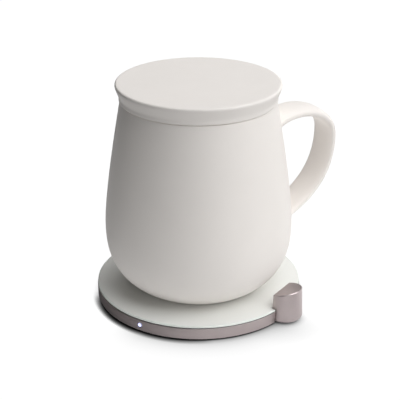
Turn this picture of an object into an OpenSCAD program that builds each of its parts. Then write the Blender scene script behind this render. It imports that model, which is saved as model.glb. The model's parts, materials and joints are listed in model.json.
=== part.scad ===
// Heated mug with a lift-off lid, standing on a flat wireless warming pad
// Millimetres, +Z up, origin at the centre of the pad's underside, +X towards the mug's handle

/* [Pad] */
// Diameter of the warming pad
pad_d = 100; // [94:1:120]
// Height of the silicone foot under the pad
foot_h = 1; // [0.6:0.1:2]
// Distance from the rim's edge in to the foot's edge
foot_inset = 1.2; // [0.6:0.1:3]
// Height of the aluminium rim
rim_h = 5.5; // [5:0.05:8]
// Wall thickness of the rim
rim_wall = 2.2; // [1.6:0.1:3]
// Chamfer on the outer edges of the rim
rim_chamfer = 0.3; // [0.1:0.05:0.6]
// Thickness of the dark gasket between rim and glass
gasket_t = 0.3; // [0.2:0.05:0.6]
// Width of the gasket
gasket_w = 2.4; // [1.5:0.1:3]
// Thickness of the glass
glass_t = 1; // [0.7:0.1:2]
// Bevel on the upper edge of the glass
glass_bevel = 0.3; // [0.1:0.05:0.5]
// Distance from the rim's edge in to the edge of the glass
glass_inset = 0.15; // [0.05:0.05:0.5]
// Thickness of the base plate
base_t = 1.2; // [1.1:0.1:2]

/* [Post] */
// Diameter of the round side of the socket post, at its top
post_d = 15.7; // [14:0.1:18]
// Draft of that side, wider towards the foot, in degrees
post_draft = 2.4; // [0:0.1:4]
// Distance from the pad's edge in to the post's axis
post_inset = 0.5; // [0:0.1:2]
// Distance from the post's axis to its flat face beside the mug
post_flat = 2.4; // [2.2:0.1:3.4]
// Height of the post at its axis
post_h = 14.3; // [13.5:0.1:18]
// Gap between the post and the surface under the pad
post_lift = 0.8; // [0.2:0.1:0.9]
// Slope of the post's top, rising outwards, in degrees
post_slope = 11.8; // [5:0.1:18]
// Wall thickness of the post
post_wall = 1.3; // [1:0.1:1.6]
// Chamfer round the top of the post
post_chamfer = 0.4; // [0.2:0.1:0.8]
// Radius of the edge round the bottom of the post
post_round = 1.7; // [0.4:0.1:1.8]
// Running gap round the post in the rim and the glass
post_gap = 0.3; // [0.15:0.05:0.6]
// Angle from the handle round to the post, in degrees
post_turn = -59.9; // [-80:0.1:-40]
// Length of the tongue that fixes the post under the glass
tongue_l = 4.6; // [4.2:0.1:5]
// Width of the tongue
tongue_w = 11.6; // [11:0.1:12]
// Thickness of the tongue
tongue_t = 2; // [1.8:0.1:2.2]
// Thickness of the cap that closes the post from below
cap_t = 1; // [0.8:0.1:1.4]

/* [Socket] */
// Long side of the socket's metal shell
usb_w = 8.94; // [8.5:0.02:9.2]
// Short side of the socket's metal shell
usb_t = 3.16; // [3:0.02:3.3]
// Sheet thickness of the socket's shell
usb_skin = 0.3; // [0.2:0.05:0.4]
// Length of the socket's shell
usb_len = 7.3; // [6.5:0.1:8]
// Length of the contact tongue inside the shell
usb_tongue_l = 4.9; // [4:0.1:5.2]
// Width of the contact tongue
usb_tongue_w = 6.7; // [6:0.1:7]
// Thickness of the contact tongue
usb_tongue_t = 0.7; // [0.5:0.1:0.9]
// Thickness of the socket's circuit board
usb_board_t = 0.8; // [0.6:0.1:1]
// Width of the socket's circuit board
usb_board_w = 10.4; // [9:0.2:11]
// Width of the flat cable from the socket to the main board
flex_w = 5; // [4:0.5:6]
// Thickness of the flat cable
flex_t = 0.2; // [0.1:0.05:0.3]

/* [Indicator light] */
// Angle from the post round to the light, in degrees
light_turn = -89.7; // [-110:1:-70]
// Diameter of the light pipe in the rim
light_d = 2; // [1.4:0.1:2.2]
// Height of the light-emitting chip
led_h = 0.8; // [0.6:0.1:1]

/* [Pad electronics] */
// Diameter of the transmitting coil
coil_d = 50; // [44:1:52]
// Diameter of the eye in the middle of the transmitting coil
coil_eye_d = 18; // [14:1:20]
// Turns of the transmitting coil
coil_turns = 8; // [6:1:9]
// Thickness of the transmitting coil
coil_t = 1.2; // [0.8:0.1:1.4]
// Gap between neighbouring turns of either coil
coil_gap = 0.5; // [0.45:0.05:0.7]
// Thickness of the transmitting coil's ferrite plate
ferrite_t = 0.8; // [0.5:0.1:1]
// Thickness of the soft sheet between coil and glass
sheet_t = 0.4; // [0.2:0.1:0.6]
// Thickness of the main circuit board
board_t = 0.8; // [0.6:0.1:1]
// Height of the bosses under the main circuit board
boss_h = 0.5; // [0.4:0.1:0.8]
// Diameter of the screws that hold rim and post to the base plate
screw_d = 2; // [1.6:0.1:2.2]
// Diameter of the countersunk heads of those screws
screw_head_d = 3.6; // [3.2:0.1:3.8]
// Depth that those screws reach into rim and post
screw_bite = 1.4; // [1:0.1:1.6]
// Diameter of the screws that hold the main board
pin_d = 1.6; // [1.4:0.1:1.8]
// Diameter of the heads of the board screws
pin_head_d = 3; // [2.6:0.1:3.4]
// Height of the heads of the board screws
pin_head_h = 0.7; // [0.5:0.1:1]

/* [Mug] */
// Diameter of the mug at its belly
mug_d = 90.4; // [86:0.2:91.8]
// Height of the mug from its foot to its lip
mug_h = 92.9; // [84:0.1:110]
// Height of the belly above the mug's foot
belly_h = 30.5; // [26:0.5:36]
// Outer diameter of the mug's foot
mug_foot_d = 58.6; // [57:0.2:64]
// Outer diameter of the mug's lip
lip_d = 73.5; // [70:0.5:76]
// Wall thickness at the belly
mug_wall = 3.9; // [3:0.1:5]
// Wall thickness at the lip
lip_t = 3.6; // [3:0.1:4.5]
// Radius of the edges of the lip
lip_round = 0.6; // [0.3:0.1:1]
// Depth of the straight throat that takes the lid
throat_h = 6.5; // [6:0.1:9]
// Thickness of the ceramic floor over the heater
mug_floor = 4; // [3:0.1:6]
// Diameter of the recess for the heater under the floor
recess_d = 50; // [46:0.5:51]

/* [Handle] */
// Width of the handle's band
handle_w = 17.5; // [12:0.5:20]
// Thickness of the band where it leaves the mug at the top
handle_t_top = 5.4; // [4:0.1:7]
// Thickness of the band where it meets the mug at the bottom
handle_t_low = 3.9; // [3:0.1:6]
// Distance of the band's middle out from the belly
handle_out = 25.4; // [22:0.2:30]
// Distance of the upper joint down from the lip
handle_drop = 17.3; // [14:0.1:20]
// Height of the lower joint above the mug's foot
handle_low = 26.2; // [24:0.1:32]
// Squareness of the band's section, where 2 is an ellipse
handle_square = 2.4; // [2:0.1:4]
// Extra thickness on each side of the band where it grows into the mug
handle_flare = 0.4; // [0:0.1:1.4]
// Length over which the band grows
flare_l = 3; // [2:0.5:6]

/* [Mug heater] */
// Gap between the mug's base cover and the glass
cover_gap = 0.4; // [0.3:0.1:0.8]
// Thickness of the base cover
cover_t = 1.2; // [1:0.1:1.6]
// Width of the sealing ring round the base cover
seal_w = 1; // [0.8:0.1:1.5]
// Gap between the heater's discs and the side of the recess
disc_gap = 1; // [0.5:0.1:1.5]
// Thickness of the receiving coil
take_coil_t = 1; // [0.8:0.1:1.2]
// Diameter of the eye in the middle of the receiving coil
take_eye_d = 18; // [14:1:20]
// Turns of the receiving coil
take_turns = 7; // [5:1:8]
// Thickness of the receiving coil's ferrite plate
take_ferrite_t = 0.6; // [0.4:0.1:0.8]
// Thickness of the receiver's circuit board
take_board_t = 0.8; // [0.6:0.1:1]
// Height of the spacer between receiver board and heater
spacer_h = 2; // [1.8:0.1:3]
// Width of the spacer's ring
spacer_w = 5.5; // [4:0.1:6.5]
// Thickness of the heater plate
heater_t = 0.4; // [0.3:0.1:0.8]
// Thickness of the bonding sheet between heater and ceramic
bond_t = 0.4; // [0.2:0.1:0.6]

/* [Lid] */
// Diameter of the lid at its upper edge
lid_d = 77.6; // [75:0.1:84]
// Diameter of the lid where it meets the mug
lid_base_d = 74.2; // [70.8:0.2:75]
// Height of the straight band at the lid's foot
lid_band_h = 1.5; // [1:0.1:3]
// Height of the lid above the mug's lip
lid_h = 8.4; // [8:0.1:12]
// Radius of the lid's upper edge
lid_round = 1.1; // [0.5:0.1:1.5]
// Depth of the shallow dish in the lid's top
lid_dish = 0.4; // [0:0.1:1]
// Thickness of the lid's top over its hollow
lid_top_t = 4; // [3:0.1:5]
// Depth of the plug that goes down into the mug
plug_h = 6; // [5.4:0.1:6]
// Wall thickness of the plug
plug_wall = 3.2; // [2.8:0.1:4]
// Gap between the plug and the mug's throat
plug_gap = 1.2; // [0.8:0.1:1.6]
// Height of the silicone ring on the plug
ring_h = 2.6; // [2:0.1:3]
// Depth of the groove that holds the ring
groove_depth = 1.2; // [0.8:0.1:1.5]
// Gap between the ring's lips and the throat
ring_gap = 0.25; // [0.15:0.05:0.4]

/* [Hidden] */
$fn = 96;

// Clearance of a fixed fit between two pieces of one body
fit = 0.05;
// Overshoot of a cut beyond the faces that it opens
over = 1;

// Colours
ceramic = [0.93, 0.92, 0.9];
white_glass = [0.87, 0.89, 0.87];
grey_metal = [0.64, 0.58, 0.58];
steel = [0.75, 0.76, 0.78];
black_rubber = [0.06, 0.06, 0.07];
black_plastic = [0.12, 0.12, 0.13];
clear_plastic = [0.85, 0.9, 1];
board_green = [0.1, 0.32, 0.2];
copper = [0.75, 0.46, 0.24];
ferrite_grey = [0.25, 0.25, 0.27];
soft_grey = [0.6, 0.62, 0.64];

// Levels of the pad, from the foot up
pad_r = pad_d / 2;
base_top = foot_h + base_t;
rim_top = foot_h + rim_h;
glass_low = rim_top + gasket_t;
pad_top = glass_low + glass_t;
rim_in_r = pad_r - rim_wall;

// Post and its socket, in a frame on the post's axis with x outwards
post_r = post_d / 2;
post_rho = pad_r - post_inset;
post_top = post_lift + post_h;
post_rise = tan(post_slope);
post_lean = tan(post_draft);
cavity_top = post_top - post_flat * post_rise - post_wall;
cap_top = post_lift + cap_t;
usb_board_x = post_wall - post_flat + 2 * fit;
usb_x = usb_board_x + usb_board_t + usb_t / 2;
usb_z = (cap_top + cavity_top) / 2;
usb_mouth_inset = 0.1;
usb_skin_r = post_r_at(usb_z + usb_w / 2);
usb_mouth = sqrt(usb_skin_r ^ 2 - (usb_x + usb_t / 2) ^ 2) - usb_mouth_inset;
usb_slot_gap = 0.15;
usb_back_gap = 1;

// Fixings of the pad
lug_r = 2.6;
lug_inset = 2.4;
lug_rho = rim_in_r - lug_inset;
lug_drop = 0.6;
lug_turns = [45, 135, 225, 315];
tongue_rho = post_rho - post_flat - tongue_l / 2;
tongue_screw_y = 3.4;
screw_head_h = 0.9;
screw_recess = 0.1;
key_d = 1.6;
key_depth = 0.6;

// Main board, a ring round the coil
board_low = base_top + boss_h;
board_top = board_low + board_t;
board_inset = 6.2;
board_r = rim_in_r - board_inset;
carrier_lip = 1.2;
carrier_r = coil_d / 2 + fit + carrier_lip;
board_eye_gap = 1.5;
board_eye_r = carrier_r + board_eye_gap;
board_rho = (board_r + board_eye_r) / 2;
boss_r = 2;
pin_turns = [30, 120, 210, 300];
pin_cover = 0.4;
pin_low = foot_h + pin_cover;
flex_lift = 0.2;
flex_z = base_top + tongue_t + flex_lift;
flex_window = 0.3;
socket_l = 3;
socket_inset = 1;
socket_side = 1;
socket_roof = 0.4;
light_z = board_top + led_h / 2;

// Pieces on the main board: length, width and height, and angles from the post
chip_size = [6, 6, 0.9];
chip_turn = 60;
transistor_size = [4, 3.6, 0.9];
transistor_turns = [78, 87, 96, 105];
inductor_size = [6, 6, 2.2];
inductor_turns = [145, 159];
capacitor_size = [5, 3.2, 1.8];
capacitor_turns = [176, 184, 192];
led_size = [1, 1.6, led_h];
led_inset = 0.7;
pipe_gap = 0.2;
collar_l = 0.8;
collar_w = 0.6;

// Coil stack of the pad, from the glass down
coil_top = glass_low - sheet_t;
coil_low = coil_top - coil_t;
ferrite_low = coil_low - ferrite_t;
sensor_r = 2.5;
sensor_gap = 1;
ferrite_eye_r = sensor_r + sensor_gap;
lead_r = 0.4;
lead_turns = [240, 252];
lead_inset = 1.5;
lead_rho = board_eye_r + lead_inset;

// Mug, measured from its foot on the glass
mug_z = pad_top;
mug_r = mug_d / 2;
lip_r = lip_d / 2;
throat_r = lip_r - lip_t;
recess_r = recess_d / 2;
take_coil_z = cover_gap + cover_t;
take_ferrite_z = take_coil_z + take_coil_t;
take_board_z = take_ferrite_z + take_ferrite_t;
take_parts_z = take_board_z + take_board_t;
heater_z = take_parts_z + spacer_h;
bond_z = heater_z + heater_t;
recess_h = bond_z + bond_t;
floor_z = recess_h + mug_floor;
disc_r = recess_r - disc_gap;

// Pieces on the receiver board: length, width and height, distance from the axis and angles
rectifier_size = [5, 5, 0.9];
rectifier_rho = 9;
rectifier_turns = [0, 120, 240];
smoother_size = [3.2, 2.4, 1.5];
smoother_rho = 11;
smoother_turns = [50, 70, 170, 190];
mug_sensor_r = 2;

// Handle, in the plane through the mug's axis: distance from the axis and height above the foot
handle_reach = mug_r + handle_out;
handle_top = mug_h - handle_drop;
widest_drop = 10.6;
widest = [handle_reach, handle_top - widest_drop];
handle_steps = 18;
band_points = 12;

// Pulls of the curves: how far a control point lies from the end that it belongs to
bowl_pull = [1.6, 7.6];
belly_low_pull = 10.5;
belly_high_pull = 17;
lip_pull = [0.2, -1.6];
throat_pull = [0.6, -3];
floor_pull = 3.5;
in_belly_pull = 9;
arm_low_pull = [10, 6.9];
arm_high_pull = [0, 15.3];
leg_high_pull = [0, -14.8];
leg_low_pull = [19.7, 10.4];
lid_low_pull = [-0.2, 1.5];
lid_high_pull = [0, -0.6];

// Lid, measured from its seat on the mug's lip
lid_z = mug_z + mug_h;
lid_r = lid_d / 2;
lid_base_r = lid_base_d / 2;
lid_edge = 0.4;
plug_r = throat_r - plug_gap;
plug_in_r = plug_r - plug_wall;
plug_chamfer = 0.6;
hollow_round = 2.5;
ring_lift = 1.4;
ring_low = -plug_h + ring_lift;
ring_proud = 0.1;

// Point at t on the cubic curve with the control points p
function bezier(p, t) =
    (1 - t) ^ 3 * p[0] + 3 * (1 - t) ^ 2 * t * p[1] + 3 * (1 - t) * t ^ 2 * p[2] + t ^ 3 * p[3];

// Points from the first to the last but one of n steps along a cubic curve
function bezier_points(p, n) = [for (i = [0 : n - 1]) bezier(p, i / n)];

// Points of an arc, both ends included
function arc_points(centre, r, from, to, n) =
    [for (i = [0 : n]) let (a = from + (to - from) * i / n) centre + r * [cos(a), sin(a)]];

// Outside of the mug from foot to lip: a full lower bowl, then a long slow taper
lip_low = [lip_r, mug_h - lip_round];
mug_bowl = [
    [mug_foot_d / 2, 0], [mug_r - bowl_pull[0], bowl_pull[1]],
    [mug_r, belly_h - belly_low_pull], [mug_r, belly_h]
];
mug_taper = [[mug_r, belly_h], [mug_r, belly_h + belly_high_pull], lip_low + lip_pull, lip_low];
mug_outside = concat(bezier_points(mug_bowl, 14), bezier_points(mug_taper, 14), [lip_low]);

// Inside of the mug from the throat down to the floor
mug_in_r = mug_r - mug_wall;
throat_low = [throat_r, mug_h - throat_h];
in_taper = [
    throat_low, throat_low + throat_pull,
    [mug_in_r, belly_h + belly_high_pull], [mug_in_r, belly_h]
];
in_bowl = [
    [mug_in_r, belly_h], [mug_in_r, belly_h - in_belly_pull],
    [mug_in_r - floor_pull, floor_z], [disc_r, floor_z]
];
mug_inside = concat(bezier_points(in_taper, 14), bezier_points(in_bowl, 12), [in_bowl[3]]);

// Radius of the mug's outside at a height above its foot
wall_table = [for (p = mug_outside) [p[1], p[0]]];
function wall_r(z) = lookup(z, wall_table);

// Middle line of the handle: an arm that bows out from the mug and a long leg back to it
arm_start = [wall_r(handle_top), handle_top];
leg_end = [wall_r(handle_low), handle_low];
arm_curve = [arm_start, arm_start + arm_low_pull, widest + arm_high_pull, widest];
leg_curve = [widest, widest + leg_high_pull, leg_end + leg_low_pull, leg_end];
handle_line = concat(
    bezier_points(arm_curve, handle_steps), bezier_points(leg_curve, handle_steps), [leg_end]
);
handle_last = len(handle_line) - 1;

// Frame of the post
module at_post() {
    rotate([0, 0, post_turn]) translate([post_rho, 0, 0]) children();
}

// Frame on the pad at an angle from the post and a distance from the middle
module at_turn(turn, rho) {
    rotate([0, 0, post_turn + turn]) translate([rho, 0, 0]) children();
}

// Frame of the mug's foot
module at_mug() {
    translate([0, 0, mug_z]) children();
}

// Ring with square edges
module ring(outer, inner, low, high) {
    translate([0, 0, low]) difference() {
        cylinder(r = outer, h = high - low);
        translate([0, 0, -over]) cylinder(r = inner, h = high - low + 2 * over);
    }
}

// Block that stands on a level, centred over its frame
module block(size, low) {
    translate([-size[0] / 2, -size[1] / 2, low]) cube(size);
}

// Radius of the post's round side at a height
function post_r_at(z) = post_r + (post_top - z) * post_lean;

// Outline of the post at its top, grown by a gap
module post_plan(grow) {
    span = post_r + grow + over;
    intersection() {
        circle(r = post_r + grow);
        translate([-post_flat - grow, -span]) square([2 * span, 2 * span]);
    }
}

// Room for the post in the pieces of the pad that it passes
module post_notch() {
    low_r = post_r_at(-over) + post_gap;
    high_r = post_r_at(pad_top + over) + post_gap;
    height = pad_top + 2 * over;
    at_post() translate([0, 0, -over]) intersection() {
        cylinder(r1 = low_r, r2 = high_r, h = height);
        translate([-post_flat - post_gap, -post_d, 0]) cube([2 * post_d, 2 * post_d, height]);
    }
}

// Everything under the post's sloping top, less the chamfer round its edge
module under_slope() {
    reach = 2 * post_d;
    foot_r = post_r + reach - post_chamfer;
    translate([0, 0, post_top]) rotate([0, -post_slope, 0]) intersection() {
        translate([-post_flat + post_chamfer, 0, 0]) rotate([0, 45, 0])
            translate([0, -reach, -2 * reach]) cube([4 * reach, 2 * reach, 4 * reach]);
        translate([0, 0, -reach]) cylinder(r1 = foot_r, r2 = post_r - post_chamfer, h = reach);
    }
}

// Countersunk screw with a six-sided key hole, head down on a level
module countersunk(low, length) {
    difference() {
        translate([0, 0, low]) union() {
            cylinder(d1 = screw_head_d, d2 = screw_d, h = screw_head_h);
            cylinder(d = screw_d, h = length);
        }
        translate([0, 0, low - over]) cylinder(d = key_d, h = key_depth + over, $fn = 6);
    }
}

// Holes for a countersunk screw through the base plate
module countersunk_hole() {
    translate([0, 0, foot_h - over]) cylinder(d = screw_head_d + 2 * fit, h = over + screw_recess);
    translate([0, 0, foot_h + screw_recess])
        cylinder(d1 = screw_head_d + 2 * fit, d2 = screw_d + 2 * fit, h = screw_head_h);
    translate([0, 0, foot_h]) cylinder(d = screw_d + 2 * fit, h = base_t + over);
}

// Blind hole for the end of such a screw, above the base plate
module screw_bore() {
    translate([0, 0, base_top - over]) cylinder(d = screw_d + 2 * fit, h = over + screw_bite + fit);
}

// Places of the screws that hold the rim and the post
module at_base_screws() {
    at_lugs() children();
    at_tongue_screws() children();
}

module at_lugs() {
    for (turn = lug_turns) at_turn(turn, lug_rho) children();
}

module at_tongue_screws() {
    for (side = [-1, 1]) at_turn(0, tongue_rho) translate([0, side * tongue_screw_y, 0]) children();
}

// Places of the screws that hold the main board
module at_pins() {
    for (turn = pin_turns) at_turn(turn, board_rho) children();
}

// Outline of the socket, long side along y
module usb_plan(w, t) {
    square([t, w - t], center = true);
    for (side = [-1, 1]) translate([0, side * (w - t) / 2]) circle(d = t);
}

// Stretch of that outline, from a depth behind the socket's mouth
module usb_bar(w, t, depth, length) {
    at_post() translate([usb_x, usb_mouth - depth, usb_z]) rotate([90, 0, 0])
        linear_extrude(length) usb_plan(w, t);
}

// Corner of a spiral winding's flat wire at a step along it
function spiral_point(eye_r, pitch, step, steps, across, z) =
    let (a = 360 * step / steps, r = eye_r + pitch * step / steps + across) [r * cos(a), r * sin(a), z];

// Flat spiral winding of rectangular wire, one unbroken piece
module spiral_coil(eye_r, outer_r, turns, low, high) {
    steps = 24;
    pitch = (outer_r - eye_r) / (turns + 1);
    wire = pitch - coil_gap;
    last = turns * steps;
    corners = [[0, low], [wire, low], [wire, high], [0, high]];
    points = [for (i = [0 : last], c = corners) spiral_point(eye_r, pitch, i, steps, c[0], c[1])];
    sides = [
        for (i = [0 : last - 1], k = [0 : 3])
            let (a = 4 * i + k, b = 4 * i + (k + 1) % 4) each [[a, a + 4, b], [b, a + 4, b + 4]]
    ];
    start = [[0, 1, 2], [0, 2, 3]];
    ends = concat(start, [for (f = start) 4 * last * [1, 1, 1] + [f[0], f[2], f[1]]]);
    neighbours = [
        for (i = [0 : last - steps])
            norm(points[4 * (i + steps)] - points[4 * i + 1])
    ];
    echo(least_gap_between_turns = min(neighbours));
    polyhedron(points = points, faces = concat(sides, ends));
}

// Pad

module foot_pad() {
    color(black_rubber) difference() {
        cylinder(r = pad_r - foot_inset, h = foot_h);
        post_notch();
    }
}

module base_plate() {
    color(black_plastic) difference() {
        union() {
            translate([0, 0, foot_h]) cylinder(r = rim_in_r - 2 * fit, h = base_t);
            at_pins() translate([0, 0, foot_h]) cylinder(r = boss_r, h = base_t + boss_h);
        }
        post_notch();
        at_base_screws() countersunk_hole();
        at_pins() translate([0, 0, pin_low - fit]) cylinder(d = pin_d + 2 * fit, h = board_low);
    }
}

module base_screws() {
    color(steel) at_base_screws() countersunk(foot_h + screw_recess, base_t + screw_bite - screw_recess);
}

module rim_ring() {
    lug_l = rim_in_r + rim_wall / 3 - lug_rho;
    lug_h = rim_top - lug_drop - base_top;
    profile = [
        [rim_in_r, foot_h], [pad_r - rim_chamfer, foot_h], [pad_r, foot_h + rim_chamfer],
        [pad_r, rim_top - rim_chamfer], [pad_r - rim_chamfer, rim_top], [rim_in_r, rim_top]
    ];
    color(grey_metal) difference() {
        union() {
            rotate_extrude() polygon(profile);
            at_lugs() translate([0, 0, base_top]) {
                cylinder(r = lug_r, h = lug_h);
                translate([0, -lug_r, 0]) cube([lug_l, 2 * lug_r, lug_h]);
            }
        }
        post_notch();
        at_lugs() screw_bore();
        at_turn(light_turn, rim_in_r - over) translate([0, 0, light_z]) rotate([0, 90, 0])
            cylinder(d = light_d + 2 * fit, h = rim_wall + 2 * over);
    }
}

module glass_gasket() {
    edge = pad_r - rim_chamfer - fit;
    color(black_rubber) difference() {
        ring(edge, edge - gasket_w, rim_top, glass_low);
        post_notch();
    }
}

module glass_top() {
    edge = pad_r - glass_inset;
    profile = [
        [0, glass_low], [edge, glass_low], [edge, pad_top - glass_bevel],
        [edge - glass_bevel, pad_top], [0, pad_top]
    ];
    color(white_glass) difference() {
        rotate_extrude() polygon(profile);
        post_notch();
    }
}

// Post with its socket

module post_shell() {
    foot_z = post_lift + post_round;
    high_z = 2 * post_top;
    foot_arc = arc_points([post_r_at(foot_z) - post_round, foot_z], post_round, -90, 0, 6);
    profile = concat([[0, post_lift]], foot_arc, [[post_r_at(high_z), high_z], [0, high_z]]);
    window_w = flex_w + 2 * flex_window;
    color(grey_metal) difference() {
        at_post() difference() {
            union() {
                intersection() {
                    rotate_extrude() polygon(profile);
                    translate([-post_flat, -post_d, 0]) cube([2 * post_d, 2 * post_d, high_z]);
                    under_slope();
                }
                translate([-post_flat - tongue_l, -tongue_w / 2, base_top])
                    cube([tongue_l + post_wall / 2, tongue_w, tongue_t]);
            }
            translate([0, 0, -over]) linear_extrude(cavity_top + over) post_plan(-post_wall);
            translate([-post_flat - over, -window_w / 2, flex_z - flex_window / 2])
                cube([post_wall + 2 * over, window_w, flex_t + flex_window]);
        }
        usb_bar(usb_w + 2 * usb_slot_gap, usb_t + 2 * usb_slot_gap, -post_r, post_r + usb_mouth);
        at_tongue_screws() screw_bore();
    }
}

module post_cap() {
    color(black_plastic) at_post() translate([0, 0, post_lift])
        linear_extrude(cap_t) post_plan(-post_wall - fit);
}

module usb_shell() {
    color(steel) difference() {
        usb_bar(usb_w, usb_t, 0, usb_len);
        usb_bar(usb_w - 2 * usb_skin, usb_t - 2 * usb_skin, -over, usb_len + 2 * over);
    }
}

module usb_tongue() {
    inset = usb_skin + fit / 2;
    block_l = usb_len - usb_tongue_l - usb_back_gap;
    color(black_plastic) union() {
        usb_bar(usb_w - 2 * inset, usb_t - 2 * inset, usb_len - block_l, block_l);
        at_post() translate([usb_x, usb_mouth - usb_len + block_l / 2, usb_z])
            translate([-usb_tongue_t / 2, 0, -usb_tongue_w / 2])
                cube([usb_tongue_t, usb_tongue_l + block_l / 2, usb_tongue_w]);
    }
}

module usb_board() {
    color(board_green) at_post() translate([usb_board_x, -usb_board_w / 2, cap_top])
        cube([usb_board_t, usb_board_w, cavity_top - cap_top - 2 * fit]);
}

module usb_flex() {
    inner_x = board_r - socket_inset - post_rho;
    color(copper) at_post() translate([inner_x, -flex_w / 2, flex_z])
        cube([usb_board_x - inner_x, flex_w, flex_t]);
}

// Pad electronics

module main_board() {
    color(board_green) difference() {
        ring(board_r, board_eye_r, board_low, board_top);
        at_pins() translate([0, 0, board_low - over])
            cylinder(d = pin_d + 2 * fit, h = board_t + 2 * over);
    }
}

module board_screws() {
    color(steel) at_pins() {
        translate([0, 0, pin_low]) cylinder(d = pin_d, h = board_top - pin_low);
        difference() {
            translate([0, 0, board_top]) cylinder(d = pin_head_d, h = pin_head_h);
            translate([0, 0, board_top + pin_head_h / 2]) cylinder(d = key_d, h = pin_head_h, $fn = 6);
        }
    }
}

module flex_socket() {
    socket_h = flex_z + flex_t + socket_roof - board_top;
    color(black_plastic) at_turn(0, board_r - socket_inset - socket_l / 2)
        block([socket_l, flex_w + 2 * socket_side, socket_h], board_top);
}

module control_chip() {
    color(black_plastic) at_turn(chip_turn, board_rho) block(chip_size, board_top);
}

module power_transistors() {
    color(black_plastic) for (turn = transistor_turns)
        at_turn(turn, board_rho) block(transistor_size, board_top);
}

module power_inductors() {
    color(ferrite_grey) for (turn = inductor_turns)
        at_turn(turn, board_rho) block(inductor_size, board_top);
}

module tuning_capacitors() {
    color(copper) for (turn = capacitor_turns)
        at_turn(turn, board_rho) block(capacitor_size, board_top);
}

module led_chip() {
    color(clear_plastic) at_turn(light_turn, board_r - led_inset) block(led_size, board_top);
}

module light_pipe() {
    start = board_r + pipe_gap;
    collar_x = rim_in_r - fit - collar_l;
    color(clear_plastic) intersection() {
        at_turn(light_turn, 0) translate([0, 0, light_z]) rotate([0, 90, 0]) {
            translate([0, 0, start]) cylinder(d = light_d, h = pad_r + over - start);
            translate([0, 0, collar_x]) cylinder(d = light_d + 2 * collar_w, h = collar_l);
        }
        cylinder(r = pad_r, h = rim_top);
    }
}

module coil_carrier() {
    pocket_r = 6;
    pocket_roof = 0.8;
    pocket_h = ferrite_low - base_top - pocket_roof + over;
    color(black_plastic) difference() {
        translate([0, 0, base_top]) cylinder(r = carrier_r, h = coil_low - base_top);
        translate([0, 0, ferrite_low]) cylinder(r = carrier_r - carrier_lip, h = coil_t + ferrite_t);
        for (turn = [0 : 60 : 300])
            at_turn(turn, coil_d / 3) translate([0, 0, base_top - over])
                cylinder(r = pocket_r, h = pocket_h);
    }
}

module transmit_ferrite() {
    color(ferrite_grey) ring(coil_d / 2, ferrite_eye_r, ferrite_low, coil_low);
}

module transmit_coil() {
    color(copper) rotate([0, 0, post_turn])
        spiral_coil(coil_eye_d / 2, coil_d / 2, coil_turns, coil_low, coil_top);
}

module coil_leads() {
    lead_z = coil_top - lead_r;
    start = coil_d / 2 + fit;
    color(copper) for (turn = lead_turns) at_turn(turn, 0) {
        translate([start, 0, lead_z]) rotate([0, 90, 0]) cylinder(r = lead_r, h = lead_rho - start);
        translate([lead_rho, 0, lead_z]) sphere(r = lead_r);
        translate([lead_rho, 0, board_top]) cylinder(r = lead_r, h = lead_z - board_top);
    }
}

module coil_sheet() {
    color(soft_grey) ring(coil_d / 2, ferrite_eye_r, coil_top, glass_low);
}

module coil_sensor() {
    color(soft_grey) translate([0, 0, ferrite_low]) cylinder(r = sensor_r, h = glass_low - ferrite_low);
}

// Mug

module mug_body() {
    lip_edge = lip_round * [1, 1];
    profile = concat(
        mug_outside,
        arc_points([lip_r, mug_h] - lip_edge, lip_round, 15, 90, 5),
        arc_points([throat_r + lip_round, mug_h - lip_round], lip_round, 90, 180, 6),
        mug_inside,
        [[0, floor_z], [0, recess_h], [recess_r, recess_h], [recess_r, 0]]
    );
    color(ceramic) at_mug() rotate_extrude() polygon(profile);
}

// Half of the handle's outline, across and through the band; the other half mirrors it
function band_half(w, t) =
    let (power = 2 / handle_square)
    [
        for (i = [0 : band_points - 1])
            let (a = (i + 0.5) * 180 / band_points)
            [sign(cos(a)) * abs(cos(a)) ^ power * w / 2, sin(a) ^ power * t / 2]
    ];

function band_outline(w, t) =
    let (half = band_half(w, t), last = len(half) - 1)
    concat(half, [for (i = [last : -1 : 0]) [half[i][0], -half[i][1]]]);

// Direction of the handle's middle line at a step
function handle_way(i) =
    let (a = handle_line[max(i - 1, 0)], b = handle_line[min(i + 1, handle_last)])
    (b - a) / norm(b - a);

// Growth of the band near the mug, from 1 at the wall to 0
function handle_growth(i) =
    let (
        from_top = norm(handle_line[i] - handle_line[0]),
        from_low = norm(handle_line[i] - handle_line[handle_last])
    ) exp(-(min(from_top, from_low) / flare_l) ^ 2);

// Point of the band pushed out to the mug's wall: on it at the ends, and never inside it between
function clear_of_wall(p, i) =
    let (
        r = norm([p[0], p[1]]),
        wall = wall_r(p[2]) + fit,
        end = i == 0 || i == handle_last,
        to = end ? wall : max(r, wall + 2 * fit)
    )
    [p[0] * to / r, p[1] * to / r, p[2]];

function handle_ring(i) =
    let (
        grow = 2 * handle_flare * handle_growth(i),
        t = handle_t_top + (handle_t_low - handle_t_top) * i / handle_last + grow,
        w = handle_w + grow,
        way = handle_way(i),
        line = handle_line[i]
    )
    [
        for (c = band_outline(w, t))
            clear_of_wall([line[0] - c[1] * way[1], c[0], line[1] + c[1] * way[0]], i)
    ];

module mug_handle() {
    rings = [for (i = [0 : handle_last]) handle_ring(i)];
    n = len(rings[0]);
    points = [for (r = rings) each r];
    sides = [
        for (i = [0 : handle_last - 1], k = [0 : n - 1])
            let (a = n * i + k, b = n * i + (k + 1) % n) each [[a, b, a + n], [b, b + n, a + n]]
    ];
    top = [
        for (k = [0 : n / 2 - 2])
            let (a = k, b = k + 1, c = n - 2 - k, d = n - 1 - k) each [[a, c, b], [a, d, c]]
    ];
    end = n * handle_last;
    low = [for (f = top) [end + f[0], end + f[2], end + f[1]]];
    color(ceramic) at_mug() polyhedron(points = points, faces = concat(sides, top, low));
}

// Heater in the mug's base

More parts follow.
